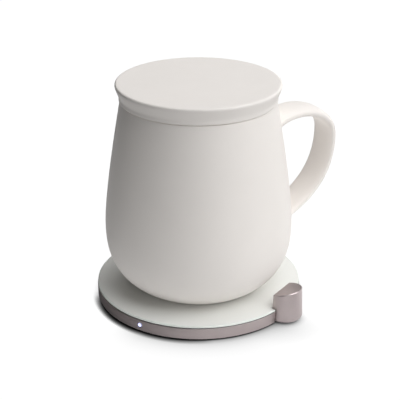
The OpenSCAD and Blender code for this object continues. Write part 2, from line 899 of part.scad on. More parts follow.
module base_cover() {
    color(ceramic) at_mug() translate([0, 0, cover_gap])
        cylinder(r = recess_r - seal_w - fit, h = cover_t);
}

module base_seal() {
    color(black_rubber) at_mug() ring(recess_r - fit, recess_r - seal_w, cover_gap, cover_gap + cover_t);
}

module receive_coil() {
    color(copper) at_mug()
        spiral_coil(take_eye_d / 2, disc_r - seal_w, take_turns, take_coil_z, take_coil_z + take_coil_t);
}

module receive_ferrite() {
    color(ferrite_grey) at_mug() translate([0, 0, take_ferrite_z])
        cylinder(r = disc_r, h = take_ferrite_t);
}

module receive_board() {
    color(board_green) at_mug() translate([0, 0, take_board_z]) cylinder(r = disc_r, h = take_board_t);
}

module rectifier_chips() {
    color(black_plastic) at_mug()
        for (turn = rectifier_turns) rotate([0, 0, turn]) translate([rectifier_rho, 0, 0])
            block(rectifier_size, take_parts_z);
}

module smoothing_capacitors() {
    color(copper) at_mug()
        for (turn = smoother_turns) rotate([0, 0, turn]) translate([smoother_rho, 0, 0])
            block(smoother_size, take_parts_z);
}

module heater_spacer() {
    color(soft_grey) at_mug() ring(disc_r, disc_r - spacer_w, take_parts_z, heater_z);
}

module heater_plate() {
    color(steel) at_mug() translate([0, 0, heater_z]) cylinder(r = disc_r, h = heater_t);
}

module heater_bond() {
    color(soft_grey) at_mug() translate([0, 0, bond_z]) cylinder(r = disc_r, h = bond_t);
}

module mug_sensor() {
    color(soft_grey) at_mug() translate([0, 0, take_parts_z]) cylinder(r = mug_sensor_r, h = spacer_h);
}

// Lid

module lid_cap() {
    band_top = [lid_base_r, lid_band_h];
    widest_edge = [lid_r, lid_h - lid_round];
    flare = [band_top, band_top + lid_low_pull, widest_edge + lid_high_pull, widest_edge];
    dish_r = lid_r - lid_round;
    roof = lid_h - lid_dish - lid_top_t;
    dish = [for (i = [1 : 8]) let (s = 1 - i / 8) [dish_r * s, lid_h - lid_dish * (1 - s ^ 4)]];
    profile = concat(
        [[lid_base_r - lid_edge, 0], [lid_base_r, lid_edge]],
        bezier_points(flare, 10),
        arc_points([lid_r - lid_round, lid_h - lid_round], lid_round, 0, 90, 6),
        dish,
        [[0, roof]],
        arc_points([plug_in_r - hollow_round, roof - hollow_round], hollow_round, 90, 0, 5),
        [
            [plug_in_r, -plug_h], [plug_r - plug_chamfer, -plug_h], [plug_r, -plug_h + plug_chamfer],
            [plug_r, ring_low - fit], [plug_r - groove_depth, ring_low - fit],
            [plug_r - groove_depth, ring_low + ring_h + fit], [plug_r, ring_low + ring_h + fit], [plug_r, 0]
        ]
    );
    color(ceramic) translate([0, 0, lid_z]) rotate_extrude() polygon(profile);
}

module lid_seal() {
    back = plug_r - groove_depth + fit;
    tip = throat_r - ring_gap;
    root = plug_r + ring_proud;
    lip = ring_h / 4;
    fins = [
        for (k = [0, 2])
            each [
                [root, ring_low + k * lip], [tip, ring_low + (k + 1) * lip],
                [root, ring_low + (k + 1.6) * lip]
            ]
    ];
    profile = concat([[back, ring_low]], fins, [[root, ring_low + ring_h], [back, ring_low + ring_h]]);
    color(soft_grey) translate([0, 0, lid_z]) rotate_extrude() polygon(profile);
}

foot_pad();
base_plate();
base_screws();
rim_ring();
glass_gasket();
glass_top();
post_shell();
post_cap();
usb_shell();
usb_tongue();
usb_board();
usb_flex();
main_board();
board_screws();
flex_socket();
control_chip();
power_transistors();
power_inductors();
tuning_capacitors();
led_chip();
light_pipe();
coil_carrier();
transmit_ferrite();
transmit_coil();
coil_leads();
coil_sheet();
coil_sensor();
mug_body();
mug_handle();
base_cover();
base_seal();
receive_coil();
receive_ferrite();
receive_board();
rectifier_chips();
smoothing_capacitors();
heater_spacer();
heater_plate();
heater_bond();
mug_sensor();
lid_cap();
lid_seal();
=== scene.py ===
"""Heated mug with a lid on a wireless warming pad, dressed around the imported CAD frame."""

import json
import math

import bmesh
import bpy
from mathutils import Matrix, Vector


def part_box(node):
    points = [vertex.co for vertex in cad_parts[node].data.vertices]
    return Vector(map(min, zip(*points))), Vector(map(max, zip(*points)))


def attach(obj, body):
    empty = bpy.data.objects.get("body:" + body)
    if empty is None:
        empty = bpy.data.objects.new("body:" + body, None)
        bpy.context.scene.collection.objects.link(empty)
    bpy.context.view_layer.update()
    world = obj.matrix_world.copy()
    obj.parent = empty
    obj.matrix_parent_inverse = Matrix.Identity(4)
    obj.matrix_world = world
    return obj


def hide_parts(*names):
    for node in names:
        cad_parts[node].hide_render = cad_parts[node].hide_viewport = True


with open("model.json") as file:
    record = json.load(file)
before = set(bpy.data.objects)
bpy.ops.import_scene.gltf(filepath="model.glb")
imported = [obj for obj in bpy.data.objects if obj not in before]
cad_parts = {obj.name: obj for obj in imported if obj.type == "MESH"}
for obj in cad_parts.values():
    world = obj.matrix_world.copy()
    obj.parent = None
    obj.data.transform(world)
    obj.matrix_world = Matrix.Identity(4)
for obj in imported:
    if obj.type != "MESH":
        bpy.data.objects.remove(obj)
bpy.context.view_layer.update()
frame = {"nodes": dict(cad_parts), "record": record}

# Sizes are in millimetres, and meshes are made in metres
MM = 0.001
TAU = 2 * math.pi

# Angles in degrees over which an edge stays sharp
SHARP = 35
RIM_SHARP = 30
POST_SHARP = 25
HANDLE_SHARP = 50
LID_SHARP = 40

# How far a cutter runs past the face that it opens
CUT_PAST = 2


def low_of(node):
    """Lowest corner of a CAD node, in millimetres."""
    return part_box(node)[0] / MM


def high_of(node):
    """Highest corner of a CAD node, in millimetres."""
    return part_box(node)[1] / MM


# Pad
PAD_R = -low_of("rim_ring").x
RIM_LOW = low_of("rim_ring").z
RIM_TOP = high_of("rim_ring").z
RIM_WALL = 2.2
RIM_EDGE = 0.3
RIM_TOP_EDGE = 0.12
GLASS_R = -low_of("glass_top").x
GLASS_LOW = low_of("glass_top").z
PAD_TOP = high_of("glass_top").z
GLASS_EDGE = 0.3
GLASS_LOW_EDGE = 0.1
GLASS_GREEN_W = 1
GASKET_R = -low_of("glass_gasket").x
GASKET_W = 2.4
FOOT_R = -low_of("foot_pad").x
FOOT_EDGE = 0.3
FACE_STEP = 1
PAD_STEPS = 240

# Post at the pad's edge, in a frame on its axis with x outwards
POST_TURN = math.radians(-59.9)
POST_RHO = PAD_R - 0.5
POST_R = 7.85
POST_FLAT = 2.4
POST_LOW = low_of("post_shell").z
POST_TOP = POST_LOW + 14.3
POST_RISE = math.tan(math.radians(11.8))
POST_LEAN = math.tan(math.radians(2.4))
POST_WALL = 1.3
POST_CORNER = 0.6
POST_CHAMFER = 0.4
POST_CHAMFER_BREAKS = (0.08, 0.85)
POST_FOOT_EDGE = 1.7
POST_GAP = 0.3
POST_CAVITY_TOP = POST_TOP - POST_FLAT * POST_RISE - POST_WALL
TONGUE_L = 4.6
TONGUE_W = 11.6
TONGUE_LOW = 2.2
TONGUE_T = 2

# Socket in the post
SLOT_GAP = 0.15
SLOT_W = 8.94 + 2 * SLOT_GAP
SLOT_T = 3.16 + 2 * SLOT_GAP
USB_MIDDLE = (low_of("usb_shell") + high_of("usb_shell")) / 2
SLOT_X = USB_MIDDLE.x * math.cos(POST_TURN) + USB_MIDDLE.y * math.sin(POST_TURN) - POST_RHO
SLOT_Z = USB_MIDDLE.z

# Indicator light in the rim
LIGHT_TURN = POST_TURN - math.radians(89.7)
LIGHT_R = 1
LIGHT_Z = (low_of("light_pipe").z + high_of("light_pipe").z) / 2
LIGHT_BACK = 6
LIGHT_START = PAD_R - RIM_WALL - LIGHT_BACK
LIGHT_GAP = 0.05
LIGHT_COLLAR_R = 1.6
LIGHT_COLLAR_L = 0.8
LIGHT_DOME = 0.12
LIGHT_RING_W = 0.3
LIGHT_RING_DEPTH = 0.5

# Mug, measured from its foot on the glass
MUG_Z = low_of("mug_body").z
MUG_H = high_of("mug_body").z - MUG_Z
MUG_R = -low_of("mug_body").x
MUG_FOOT_R = 29.3
BELLY_H = 30.5
LIP_R = 36.75
LIP_EDGE = 0.6
MUG_WALL = 3.9
LIP_T = 3.6
THROAT_H = 6.5
MUG_FLOOR_Z = 10.8
RECESS_R = 25
RECESS_H = 6.8
MUG_FLOOR_R = RECESS_R - 1
FOOT_RING_EDGE = 0.5
FOOT_CORNER_IN = 0.6
FOOT_CORNER_OUT = (0.25, 0.06)
FOOT_CORNER_END = 0.9
LIP_EDGE_START = 0.2

# Pulls of the mug's curves at their ends, across and along its axis
BOWL_LOW_PULL = (1.6, 7.6)
BOWL_HIGH_PULL = 10.5
TAPER_LOW_PULL = 17
TAPER_HIGH_PULL = (0.2, 1.6)
THROAT_PULL = (0.6, 3)
INNER_BOWL_PULL = 9
MUG_FLOOR_PULL = 3.5

# Handle, in the plane through the mug's axis
HANDLE_REACH = MUG_R + 25.4
HANDLE_TOP = MUG_H - 17.3
HANDLE_LOW = 26.2
HANDLE_WIDEST_Z = HANDLE_TOP - 10.6
HANDLE_W = 17.5
HANDLE_T_TOP = 5.4
HANDLE_T_LOW = 3.9
HANDLE_SQUARE = 2.4
HANDLE_FILLET = 0.9
ARM_LOW_PULL = (10, 6.9)
ARM_HIGH_PULL = (0, 15.3)
LEG_HIGH_PULL = (0, -14.8)
LEG_LOW_PULL = (19.7, 10.4)
HANDLE_SINK = 0.03
HANDLE_CLEAR = 12
HANDLE_INTO_TOP = 6
HANDLE_INTO_LOW = 8
HANDLE_STEPS = 120
HALVINGS = 40

# Coils, as flat spirals of a wire bundle
COIL_GAP = 0.5
COIL_EDGE = 0.3
COIL_STEPS = 72
COIL_EYE_R = 9
SENDING_R = 25
SENDING_TURNS = 8
TAKING_R = 23
TAKING_TURNS = 7

# Lid, measured from its seat on the mug's lip
LID_Z = MUG_Z + MUG_H
LID_H = high_of("lid_cap").z - LID_Z
LID_R = -low_of("lid_cap").x
LID_BASE_R = 37.1
LID_BAND_H = 1.5
LID_EDGE = 1.0
LID_EDGE_TILT = math.radians(8)
LID_SEAT_EDGE = 0.4
LID_SEAT_EDGE_END = -0.1
LID_SEAT_R = 34.5
LID_SEAM = 0.22
LID_LOW_PULL = (-0.2, 1.5)
LID_HIGH_PULL = 2.0
LID_DISH = 0.4
LID_DISH_STEPS = 24
LID_TOP_T = 4
PLUG_H = LID_Z - low_of("lid_cap").z
PLUG_R = LIP_R - LIP_T - 1.2
PLUG_WALL = 3.2
PLUG_EDGE = 0.6
PLUG_FILLET = 2.5
GROOVE_DEPTH = 1.2
GROOVE_GAP = 0.05
RING_LOW = low_of("lid_seal").z - LID_Z
RING_TOP = high_of("lid_seal").z - LID_Z
RING_R = -low_of("lid_seal").x
RING_ROOT = 0.1
RING_TIP_R = 0.12
RING_LIP_END = 1.6

# Camera, fitted to the photograph's 400 by 400 frame
PHOTO_SIDE = 400
FOCAL_PIXELS = 1118.9
AXIS_PIXEL_X = 198.5
CAMERA_TURN = math.radians(-116.3)
CAMERA_OUT = 493.9
CAMERA_HEIGHT = 270.46
CAMERA_PITCH = math.radians(24.15)
SENSOR_W = 36
CLIP_START = 0.01
CLIP_END = 20

# Backdrop in mirrors: turn from the camera, rise and fade as sines, width as cosines, floor in metres
BACKDROP_TURN = math.radians(150)
BACKDROP_RISE = (0.2, 0.36)
BACKDROP_FADE = (0.3, 0.6)
BACKDROP_WAY = (0.6, 0.9)
BACKDROP_FLOOR = (0.0, 0.02)

# Lamps: degrees round from the camera, degrees above the floor, size in metres and power in watts
LAMPS = {
    "key": (60, 62, 0.7, 4.6),
    "side": (75, 30, 0.7, 2.7),
    "front": (10, 4, 0.3, 2.0),
    "top": (180, 70, 0.7, 2.1),
    "back": (150, 14, 0.6, 3.0),
    "edge": (125, 10, 0.1, 0.8),
}
UNMIRRORED_LAMPS = ("front", "back")
MIRRORED_ONLY_LAMPS = ("edge",)
LAMP_AWAY = 0.9
LAMP_AIM_Z = 50
WORLD_STRENGTH = 0.01

# Floor: its greys, and the light that it sends back to matte surfaces
FLOOR_HALF = 4000
FLOOR_CLOUD = 40
FLOOR_GREYS = (0.18, 0.2)
FLOOR_SEEN_GREY = 0.04
BOUNCE = 0.57
SIDE_BOUNCE = 1.4 * BOUNCE
BOUNCE_TURN = (0, 75, 35)
BOUNCE_FADE = (120, 320)

# Painted floor shade in mirrors: greys from left to right, and where they change in millimetres across the
# floor
MIRROR_SHADE_GREYS = (0.12, 0.92, 0.75)
MIRROR_SHADE_RISE = (-75, 5)
MIRROR_SHADE_FALL = (45, 70)

# Contact shade on the floor: reaches, and turns from the camera with two angles off them where it fades
SOFT_SHADE = 20
SOFT_SHADE_TURN = (8, 55, 38)
CLOSE_SHADE = 3.4
CLOSE_SHADE_TURN = (-40, 48, 10)
DARKEST_TURN = (-58, 25, 5)
TURNED_POWER = 3.2
LEAST_POWER = 0.4
LINE_SHADE = 0.8
LINE_POWER = 1.6


# Curves and outlines


def bezier(points, steps):
    """Points along a cubic curve, without its last one."""
    a, b, c, d = (Vector(p) for p in points)
    found = []
    for i in range(steps):
        t = i / steps
        s = 1 - t
        found.append(s ** 3 * a + 3 * s * s * t * b + 3 * s * t * t * c + t ** 3 * d)
    return [tuple(p) for p in found]


def arc(centre, radius, start, end, steps):
    """Points of an arc, both ends included, angles in radians."""
    found = []
    for i in range(steps + 1):
        a = start + (end - start) * i / steps
        found.append((centre[0] + radius * math.cos(a), centre[1] + radius * math.sin(a)))
    return found


def edge_steps(radius, steps):
    """Inset and drop of each step round an edge, from the side to the top."""
    turns = [math.pi / 2 * i / steps for i in range(steps + 1)]
    return [(radius * (1 - math.cos(a)), radius * (1 - math.sin(a))) for a in turns]


def chamfer_steps(size):
    """Inset and drop of each step over a chamfer with its corners just broken."""
    near, far = (share * size for share in POST_CHAMFER_BREAKS)
    return [(0, size), (near, far), (far, near), (size, 0)]


def turned(points, turn):
    """Flat points turned about the pad's axis."""
    c, s = math.cos(turn), math.sin(turn)
    return [(c * x - s * y, s * x + c * y) for x, y in points]


def post_r_at(z):
    """Radius of the post's round side at a height."""
    return POST_R + (POST_TOP - z) * POST_LEAN


def notch_angle(radius, notch_r):
    """Angle from the post's direction at which a circle of the pad meets the round side of the notch."""
    return math.acos((radius ** 2 + POST_RHO ** 2 - notch_r ** 2) / (2 * radius * POST_RHO))


def notched_circle(radius, notch_r, flat):
    """Edge of a disc of the pad with the notch for the post, given the notch's round and flat sides."""
    reach = notch_angle(radius, notch_r)
    edge = arc((0, 0), radius, reach, TAU - reach, PAD_STEPS)
    meet = math.atan2(radius * math.sin(reach), radius * math.cos(reach) - POST_RHO)
    corner = math.atan2(math.sqrt(notch_r ** 2 - flat ** 2), -flat)
    into = arc((POST_RHO, 0), notch_r, -meet, -corner, 6)
    out = arc((POST_RHO, 0), notch_r, corner, meet, 6)
    return turned(edge + into[1:] + out[:-1], POST_TURN)


def post_outline(radius, flat, corner_r, steps=56):
    """Plan of the post about its axis: a round side, a flat face and the corners between them."""
    x = corner_r - flat
    y = math.sqrt((radius - corner_r) ** 2 - x ** 2)
    turn = math.atan2(y, x)
    round_side = arc((0, 0), radius, -turn, turn, steps)
    first = arc((x, y), corner_r, turn, math.pi, 6)
    second = arc((x, -y), corner_r, -math.pi, -turn, 6)
    return round_side + first[1:] + second[:-1]


# Meshes


def make_mesh(name, points, faces, sharp):
    """Mesh object in metres from points in millimetres, smooth but for edges over an angle in degrees."""
    mesh = bpy.data.meshes.new(name)
    mesh.from_pydata([Vector(p) * MM for p in points], [], faces)
    work = bmesh.new()
    work.from_mesh(mesh)
    bmesh.ops.recalc_face_normals(work, faces=work.faces)
    work.to_mesh(mesh)
    work.free()
    piece = bpy.data.objects.new(name, mesh)
    bpy.context.scene.collection.objects.link(piece)
    soften(piece, sharp)
    return piece


def soften(piece, sharp):
    """Smooth shading with sharp edges over an angle in degrees."""
    piece.data.shade_smooth()
    piece.data.set_sharp_from_angle(angle=math.radians(sharp))


def lathe(name, profile, steps=192, closed=False, sharp=SHARP):
    """Skin of revolution about Z through points of radius and height; points on the axis are poles."""
    points = []
    rows = []
    for r, z in profile:
        if r < 1e-6:
            rows.append([len(points)] * steps)
            points.append((0, 0, z))
        else:
            rows.append(list(range(len(points), len(points) + steps)))
            points += [(x, y, z) for x, y in arc((0, 0), r, 0, TAU, steps)[:-1]]
    faces = []
    uppers = rows[1:] + rows[:1] if closed else rows[1:]
    for lower, upper in zip(rows, uppers):
        for k in range(steps):
            n = (k + 1) % steps
            face = dict.fromkeys([lower[k], lower[n], upper[n], upper[k]])
            faces.append(tuple(face))
    return make_mesh(name, points, faces, sharp)


def loft(name, rings, sharp=SHARP):
    """Skin through rings of points of one count, with a face on each end."""
    count = len(rings[0])
    points = [p for ring in rings for p in ring]
    faces = []
    for i in range(len(rings) - 1):
        lower = i * count
        upper = lower + count
        for k in range(count):
            n = (k + 1) % count
            faces.append((lower + k, lower + n, upper + n, upper + k))
    faces.append(tuple(range(count)))
    faces.append(tuple(range(len(points) - count, len(points))))
    return make_mesh(name, points, faces, sharp)


def notched_ring(name, profile):
    """Ring of the pad with a closed profile, open where the post stands."""
    rings = []
    for i in range(PAD_STEPS + 1):
        ring = []
        for r, z in profile:
            reach = notch_angle(r, post_r_at(z) + POST_GAP)
            a = POST_TURN + reach + (TAU - 2 * reach) * i / PAD_STEPS
            ring.append((r * math.cos(a), r * math.sin(a), z))
        rings.append(ring)
    return loft(name, rings)


def notched_disc(name, layers):
    """Disc of the pad with the notch, through layers of radius and height."""
    reach = max(r for r, z in layers)
    rings = []
    for r, z in layers:
        gap = POST_GAP + reach - r
        outline = notched_circle(r, post_r_at(z) + gap, POST_FLAT + gap)
        rings.append([(x, y, z) for x, y in outline])
    return loft(name, rings)


def carve(piece, cutter, sharp, how="DIFFERENCE"):
    """Cuts one mesh out of another, or joins it on, and removes it."""
    change = piece.modifiers.new("carve", "BOOLEAN")
    change.operation = how
    change.solver = "EXACT"
    change.object = cutter
    bpy.context.view_layer.update()
    shaped = piece.evaluated_get(bpy.context.evaluated_depsgraph_get())
    mesh = bpy.data.meshes.new_from_object(shaped)
    piece.modifiers.clear()
    piece.data = mesh
    mesh.name = piece.name
    bpy.data.objects.remove(cutter)
    soften(piece, sharp)


def stand(piece, origin, across, along, up):
    """Moves a mesh from its own axes to a place in the frame."""
    axes = Matrix((across, along, up)).transposed().to_4x4()
    piece.data.transform(Matrix.Translation(Vector(origin) * MM) @ axes)
    return piece


def at_post(piece):
    """Moves a mesh from the post's frame to its place on the pad."""
    c, s = math.cos(POST_TURN), math.sin(POST_TURN)
    return stand(piece, (POST_RHO * c, POST_RHO * s, 0), (c, s, 0), (-s, c, 0), (0, 0, 1))


# Materials


def new_node(tree, kind, links=None, **values):
    """New shader node with its settings, then its inputs set or linked by name or number."""
    node = tree.nodes.new(kind)
    for name, value in values.items():
        setattr(node, name, value)
    for name, value in (links or {}).items():
        if isinstance(value, bpy.types.NodeSocket):
            tree.links.new(value, node.inputs[name])
        else:
            node.inputs[name].default_value = value
    return node


def new_material(name, colour, roughness, metallic=0.0):
    """Principled material with plain values to start from."""
    made = bpy.data.materials.new(name)
    made.use_nodes = True
    shader = made.node_tree.nodes["Principled BSDF"]
    shader.inputs["Base Color"].default_value = (*colour, 1)
    shader.inputs["Roughness"].default_value = roughness
    shader.inputs["Metallic"].default_value = metallic
    return made, made.node_tree, shader


def place_in(tree):
    """Coordinates on the piece itself, in metres."""
    return new_node(tree, "ShaderNodeTexCoord").outputs["Object"]


def stretched(tree, where, factors):
    """Coordinates scaled along each axis."""
    scale = {"Vector": where, "Scale": factors}
    return new_node(tree, "ShaderNodeMapping", scale).outputs["Vector"]


def noise(tree, where, size, detail=3.0):
    """Soft noise with features of a size in millimetres."""
    values = {"Vector": where, "Scale": 1 / (size * MM), "Detail": detail}
    return new_node(tree, "ShaderNodeTexNoise", values).outputs["Fac"]


def spread(tree, value, low, high, start=0.3, end=0.7):
    """Number from low to high as a value goes from start to end."""
    values = {"Value": value, "From Min": start, "From Max": end, "To Min": low, "To Max": high}
    return new_node(tree, "ShaderNodeMapRange", values).outputs["Result"]


def product(tree, first, second):
    """One number times another."""
    return new_node(tree, "ShaderNodeMath", {0: first, 1: second}, operation="MULTIPLY").outputs["Value"]


def between(tree, value, first, second):
    """Colour from the first to the second as a value goes from 0 to 1."""
    node = new_node(tree, "ShaderNodeMix", data_type="RGBA")
    tree.links.new(value, node.inputs["Factor"])
    for socket, colour in ((node.inputs[6], first), (node.inputs[7], second)):
        if isinstance(colour, bpy.types.NodeSocket):
            tree.links.new(colour, socket)
        else:
            socket.default_value = (*colour, 1)
    return node.outputs[2]


def bumped(tree, shader, height, depth):
    """Small relief of a depth in millimetres; several are chained."""
    values = {"Height": height, "Distance": depth * MM, "Strength": 1.0}
    before = shader.inputs["Normal"]
    if before.is_linked:
        values["Normal"] = before.links[0].from_socket
    node = new_node(tree, "ShaderNodeBump", values)
    tree.links.new(node.outputs["Normal"], before)


def grey(value):
    """Grey of one value in all three channels."""
    return (value, value, value)


def wave_scale(pitch):
    """Scale of a wave texture with bands a pitch in millimetres apart: its phase runs 20 radians a unit."""
    return TAU / (20 * pitch * MM)


def shades(colour, amount):
    """A darker and a lighter shade of a colour."""
    return tuple(tuple(c * k for c in colour) for k in (1 - amount, 1 + amount))


def ceramic(name, colour):
    """Satin glaze: faint clouding of its tone, fine orange peel and a slow unevenness of the wall."""
    made, tree, shader = new_material(name, colour, roughness=0.55)
    shader.inputs["Specular IOR Level"].default_value = 0.25
    where = place_in(tree)
    clouds = spread(tree, noise(tree, where, size=14), 0, 1)
    tree.links.new(between(tree, clouds, *shades(colour, 0.008)), shader.inputs["Base Color"])
    tree.links.new(spread(tree, noise(tree, where, size=5), 0.5, 0.6), shader.inputs["Roughness"])
    bumped(tree, shader, noise(tree, where, size=0.5, detail=2.0), depth=0.006)
    bumped(tree, shader, noise(tree, where, size=9, detail=1.0), depth=0.03)
    return made


def painted_glass(name, colour):
    """Clear glass over white paint: glossy, with faint smears, and greener towards its ground edge."""
    made, tree, shader = new_material(name, colour, roughness=0.05)
    shader.inputs["IOR"].default_value = 1.52
    where = place_in(tree)
    split = new_node(tree, "ShaderNodeSeparateXYZ", {"Vector": where})
    flat = {"X": split.outputs["X"], "Y": split.outputs["Y"]}
    plan = new_node(tree, "ShaderNodeCombineXYZ", flat).outputs["Vector"]
    out = new_node(tree, "ShaderNodeVectorMath", {0: plan}, operation="LENGTH").outputs["Value"]
    edge = spread(tree, out, 0, 1, (GLASS_R - GLASS_GREEN_W) * MM, GLASS_R * MM)
    clouds = spread(tree, noise(tree, where, size=20), 0, 1)
    body = between(tree, clouds, *shades(colour, 0.006))
    green = tuple(c * k for c, k in zip(colour, (0.95, 0.985, 0.965)))
    tree.links.new(between(tree, edge, body, green), shader.inputs["Base Color"])
    smears = noise(tree, stretched(tree, where, (1, 3, 1)), size=12, detail=4.0)
    tree.links.new(spread(tree, smears, 0.03, 0.07), shader.inputs["Roughness"])
    return made


def blasted_metal(name, colour):
    """Bead-blasted and anodised aluminium: fine even grain and a slight drift of tone."""
    made, tree, shader = new_material(name, colour, roughness=0.38, metallic=1.0)
    where = place_in(tree)
    grain = noise(tree, where, size=0.12, detail=2.0)
    drift = spread(tree, noise(tree, where, size=6), 0, 1)
    tone = between(tree, drift, *shades(colour, 0.03))
    speckled = between(tree, spread(tree, grain, 0, 0.5), tone, shades(colour, 0.12)[1])
    tree.links.new(speckled, shader.inputs["Base Color"])
    tree.links.new(spread(tree, grain, 0.34, 0.42), shader.inputs["Roughness"])
    bumped(tree, shader, grain, depth=0.012)
    return made


def rubber(name, colour):
    """Matte moulded silicone with a fine skin and a little dust."""
    made, tree, shader = new_material(name, colour, roughness=0.75)
    shader.inputs["Specular IOR Level"].default_value = 0.1
    where = place_in(tree)
    dust = spread(tree, noise(tree, where, size=2.5, detail=5.0), 0, 1, 0.45, 0.8)
    lighter = tuple(min(1, c * 1.25 + 0.003) for c in colour)
    tree.links.new(between(tree, dust, colour, lighter), shader.inputs["Base Color"])
    tree.links.new(spread(tree, dust, 0.68, 0.82, 0, 1), shader.inputs["Roughness"])
    bumped(tree, shader, noise(tree, where, size=0.25, detail=2.0), depth=0.015)
    return made


def moulded(name, colour, rough):
    """Spark-eroded plastic: an even small grain."""
    made, tree, shader = new_material(name, colour, rough)
    where = place_in(tree)
    grain = noise(tree, where, size=0.3, detail=3.0)
    tree.links.new(between(tree, grain, *shades(colour, 0.2)), shader.inputs["Base Color"])
    tree.links.new(spread(tree, grain, rough - 0.06, rough + 0.06), shader.inputs["Roughness"])
    bumped(tree, shader, grain, depth=0.02)
    return made


def lit_plastic(name, colour, glow):
    """Clear plastic with light coming through, white in the middle and bluer towards its edge."""
    made, tree, shader = new_material(name, colour, roughness=0.2)
    where = place_in(tree)
    middle = Vector((PAD_R * math.cos(LIGHT_TURN), PAD_R * math.sin(LIGHT_TURN), LIGHT_Z)) * MM
    away = {0: where, 1: middle}
    far = new_node(tree, "ShaderNodeVectorMath", away, operation="DISTANCE").outputs["Value"]
    edge = spread(tree, far, 0, 1, 0.2 * LIGHT_R * MM, LIGHT_R * MM)
    pale = (0.95, 0.95, 1.0)
    tree.links.new(between(tree, edge, pale, glow), shader.inputs["Emission Color"])
    cells = noise(tree, where, size=0.4)
    tree.links.new(spread(tree, cells, 0.15, 0.3), shader.inputs["Roughness"])
    strength = spread(tree, edge, 1.0, 0.3, 0.7, 1)
    tree.links.new(strength, shader.inputs["Emission Strength"])
    return made


def circuit_board(name, colour):
    """Green mask over a lattice of copper tracks, with a glass-weave relief."""
    made, tree, shader = new_material(name, colour, roughness=0.35)
    where = place_in(tree)
    lattice = {"Vector": where, "Scale": 1 / (3 * MM), "Mortar Size": 0.06, "Bias": -0.4}
    tracks = new_node(tree, "ShaderNodeTexBrick", lattice).outputs["Fac"]
    lighter = tuple(c * k for c, k in zip(colour, (2.4, 1.7, 1.8)))
    tree.links.new(between(tree, tracks, colour, lighter), shader.inputs["Base Color"])
    weave = noise(tree, stretched(tree, where, (1, 1, 0.2)), size=0.4, detail=2.0)
    tree.links.new(spread(tree, weave, 0.28, 0.42), shader.inputs["Roughness"])
    bumped(tree, shader, tracks, depth=0.03)
    bumped(tree, shader, weave, depth=0.01)
    return made


def film(name, colour):
    """Amber cable film with darker conductors along it."""
    made, tree, shader = new_material(name, colour, roughness=0.3)
    where = place_in(tree)
    axis = Matrix.Rotation(-POST_TURN, 4, "Z").to_euler()
    along = new_node(tree, "ShaderNodeMapping", {"Vector": where, "Rotation": axis}).outputs["Vector"]
    lines = {"Vector": along, "Scale": wave_scale(0.5)}
    wave = new_node(tree, "ShaderNodeTexWave", lines, bands_direction="Y").outputs["Fac"]
    tree.links.new(between(tree, wave, *shades(colour, 0.3)), shader.inputs["Base Color"])
    tree.links.new(spread(tree, noise(tree, where, size=1), 0.22, 0.38), shader.inputs["Roughness"])
    bumped(tree, shader, wave, depth=0.02)
    return made


def enamelled_wire(name, colour):
    """Bundle of enamelled copper strands that run round the axis."""
    made, tree, shader = new_material(name, colour, roughness=0.35, metallic=0.85)
    where = place_in(tree)
    rings = {"Vector": where, "Scale": wave_scale(0.21), "Distortion": 1.2, "Detail": 1.0}
    settings = {"wave_type": "RINGS", "rings_direction": "Z"}
    strands = new_node(tree, "ShaderNodeTexWave", rings, **settings).outputs["Fac"]
    tree.links.new(between(tree, strands, *shades(colour, 0.25)), shader.inputs["Base Color"])
    tree.links.new(spread(tree, noise(tree, where, size=0.8), 0.28, 0.42), shader.inputs["Roughness"])
    bumped(tree, shader, strands, depth=0.05)
    return made


def sintered(name, colour, grain_size, rough):
    """Pressed and fired body with a visible grain."""
    made, tree, shader = new_material(name, colour, rough)
    where = place_in(tree)
    cells = {"Vector": where, "Scale": 1 / (grain_size * MM)}
    grain = new_node(tree, "ShaderNodeTexVoronoi", cells).outputs["Distance"]
    tree.links.new(between(tree, grain, *shades(colour, 0.3)), shader.inputs["Base Color"])
    tree.links.new(spread(tree, grain, rough - 0.1, rough + 0.1, 0, 1), shader.inputs["Roughness"])
    bumped(tree, shader, grain, depth=0.02)
    return made


def brushed_steel(name, colour):
    """Rolled bright steel with fine lines."""
    made, tree, shader = new_material(name, colour, roughness=0.3, metallic=1.0)
    where = place_in(tree)
    lines = noise(tree, stretched(tree, where, (1, 14, 14)), size=1.5, detail=4.0)
    tree.links.new(between(tree, lines, *shades(colour, 0.12)), shader.inputs["Base Color"])
    tree.links.new(spread(tree, lines, 0.22, 0.38), shader.inputs["Roughness"])
    bumped(tree, shader, lines, depth=0.006)
    return made


def slot_colour(slot):
    """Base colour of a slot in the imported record."""
    for entry in frame["record"]["materials"]:
        if entry["slot"] == slot:
            return tuple(entry["base_color"][:3])
    raise KeyError(slot)


# How each slot's material is made, with the values that it takes besides its name and colour
MAKERS = {
    "white_ceramic": (ceramic,),
    "lid_ceramic": (ceramic,),
    "white_glass": (painted_glass,),
    "rim_aluminium": (blasted_metal,),
    "black_silicone": (rubber,),
    "grey_silicone": (rubber,),
    "clear_silicone": (rubber,),
    "black_plastic": (moulded, 0.5),
    "chip_plastic": (moulded, 0.6),
    "light_plastic": (lit_plastic, (0.45, 0.45, 1.0)),
    "circuit_board": (circuit_board,),
    "flat_cable": (film,),
    "copper_wire": (enamelled_wire,),
    "ferrite": (sintered, 0.3, 0.6),
    "capacitor_ceramic": (sintered, 0.2, 0.45),
    "steel": (brushed_steel,),
}
FINISHES = {slot: make(slot, slot_colour(slot), *values) for slot, (make, *values) in MAKERS.items()}


def dress(piece, body, slot, *nodes):
    """Gives a new piece its finish, its body and the CAD nodes that it stands for."""
    piece.data.materials.clear()
    piece.data.materials.append(FINISHES[slot])
    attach(piece, body)
    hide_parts(*nodes)


def dress_cad_nodes():
    """Puts each slot's material on the CAD nodes that use it."""
    for part in frame["record"]["subparts"]:
        materials = frame["nodes"][part["node"]].data.materials
        materials.clear()
        materials.append(FINISHES[part["material_slot"]])


# Pad pieces


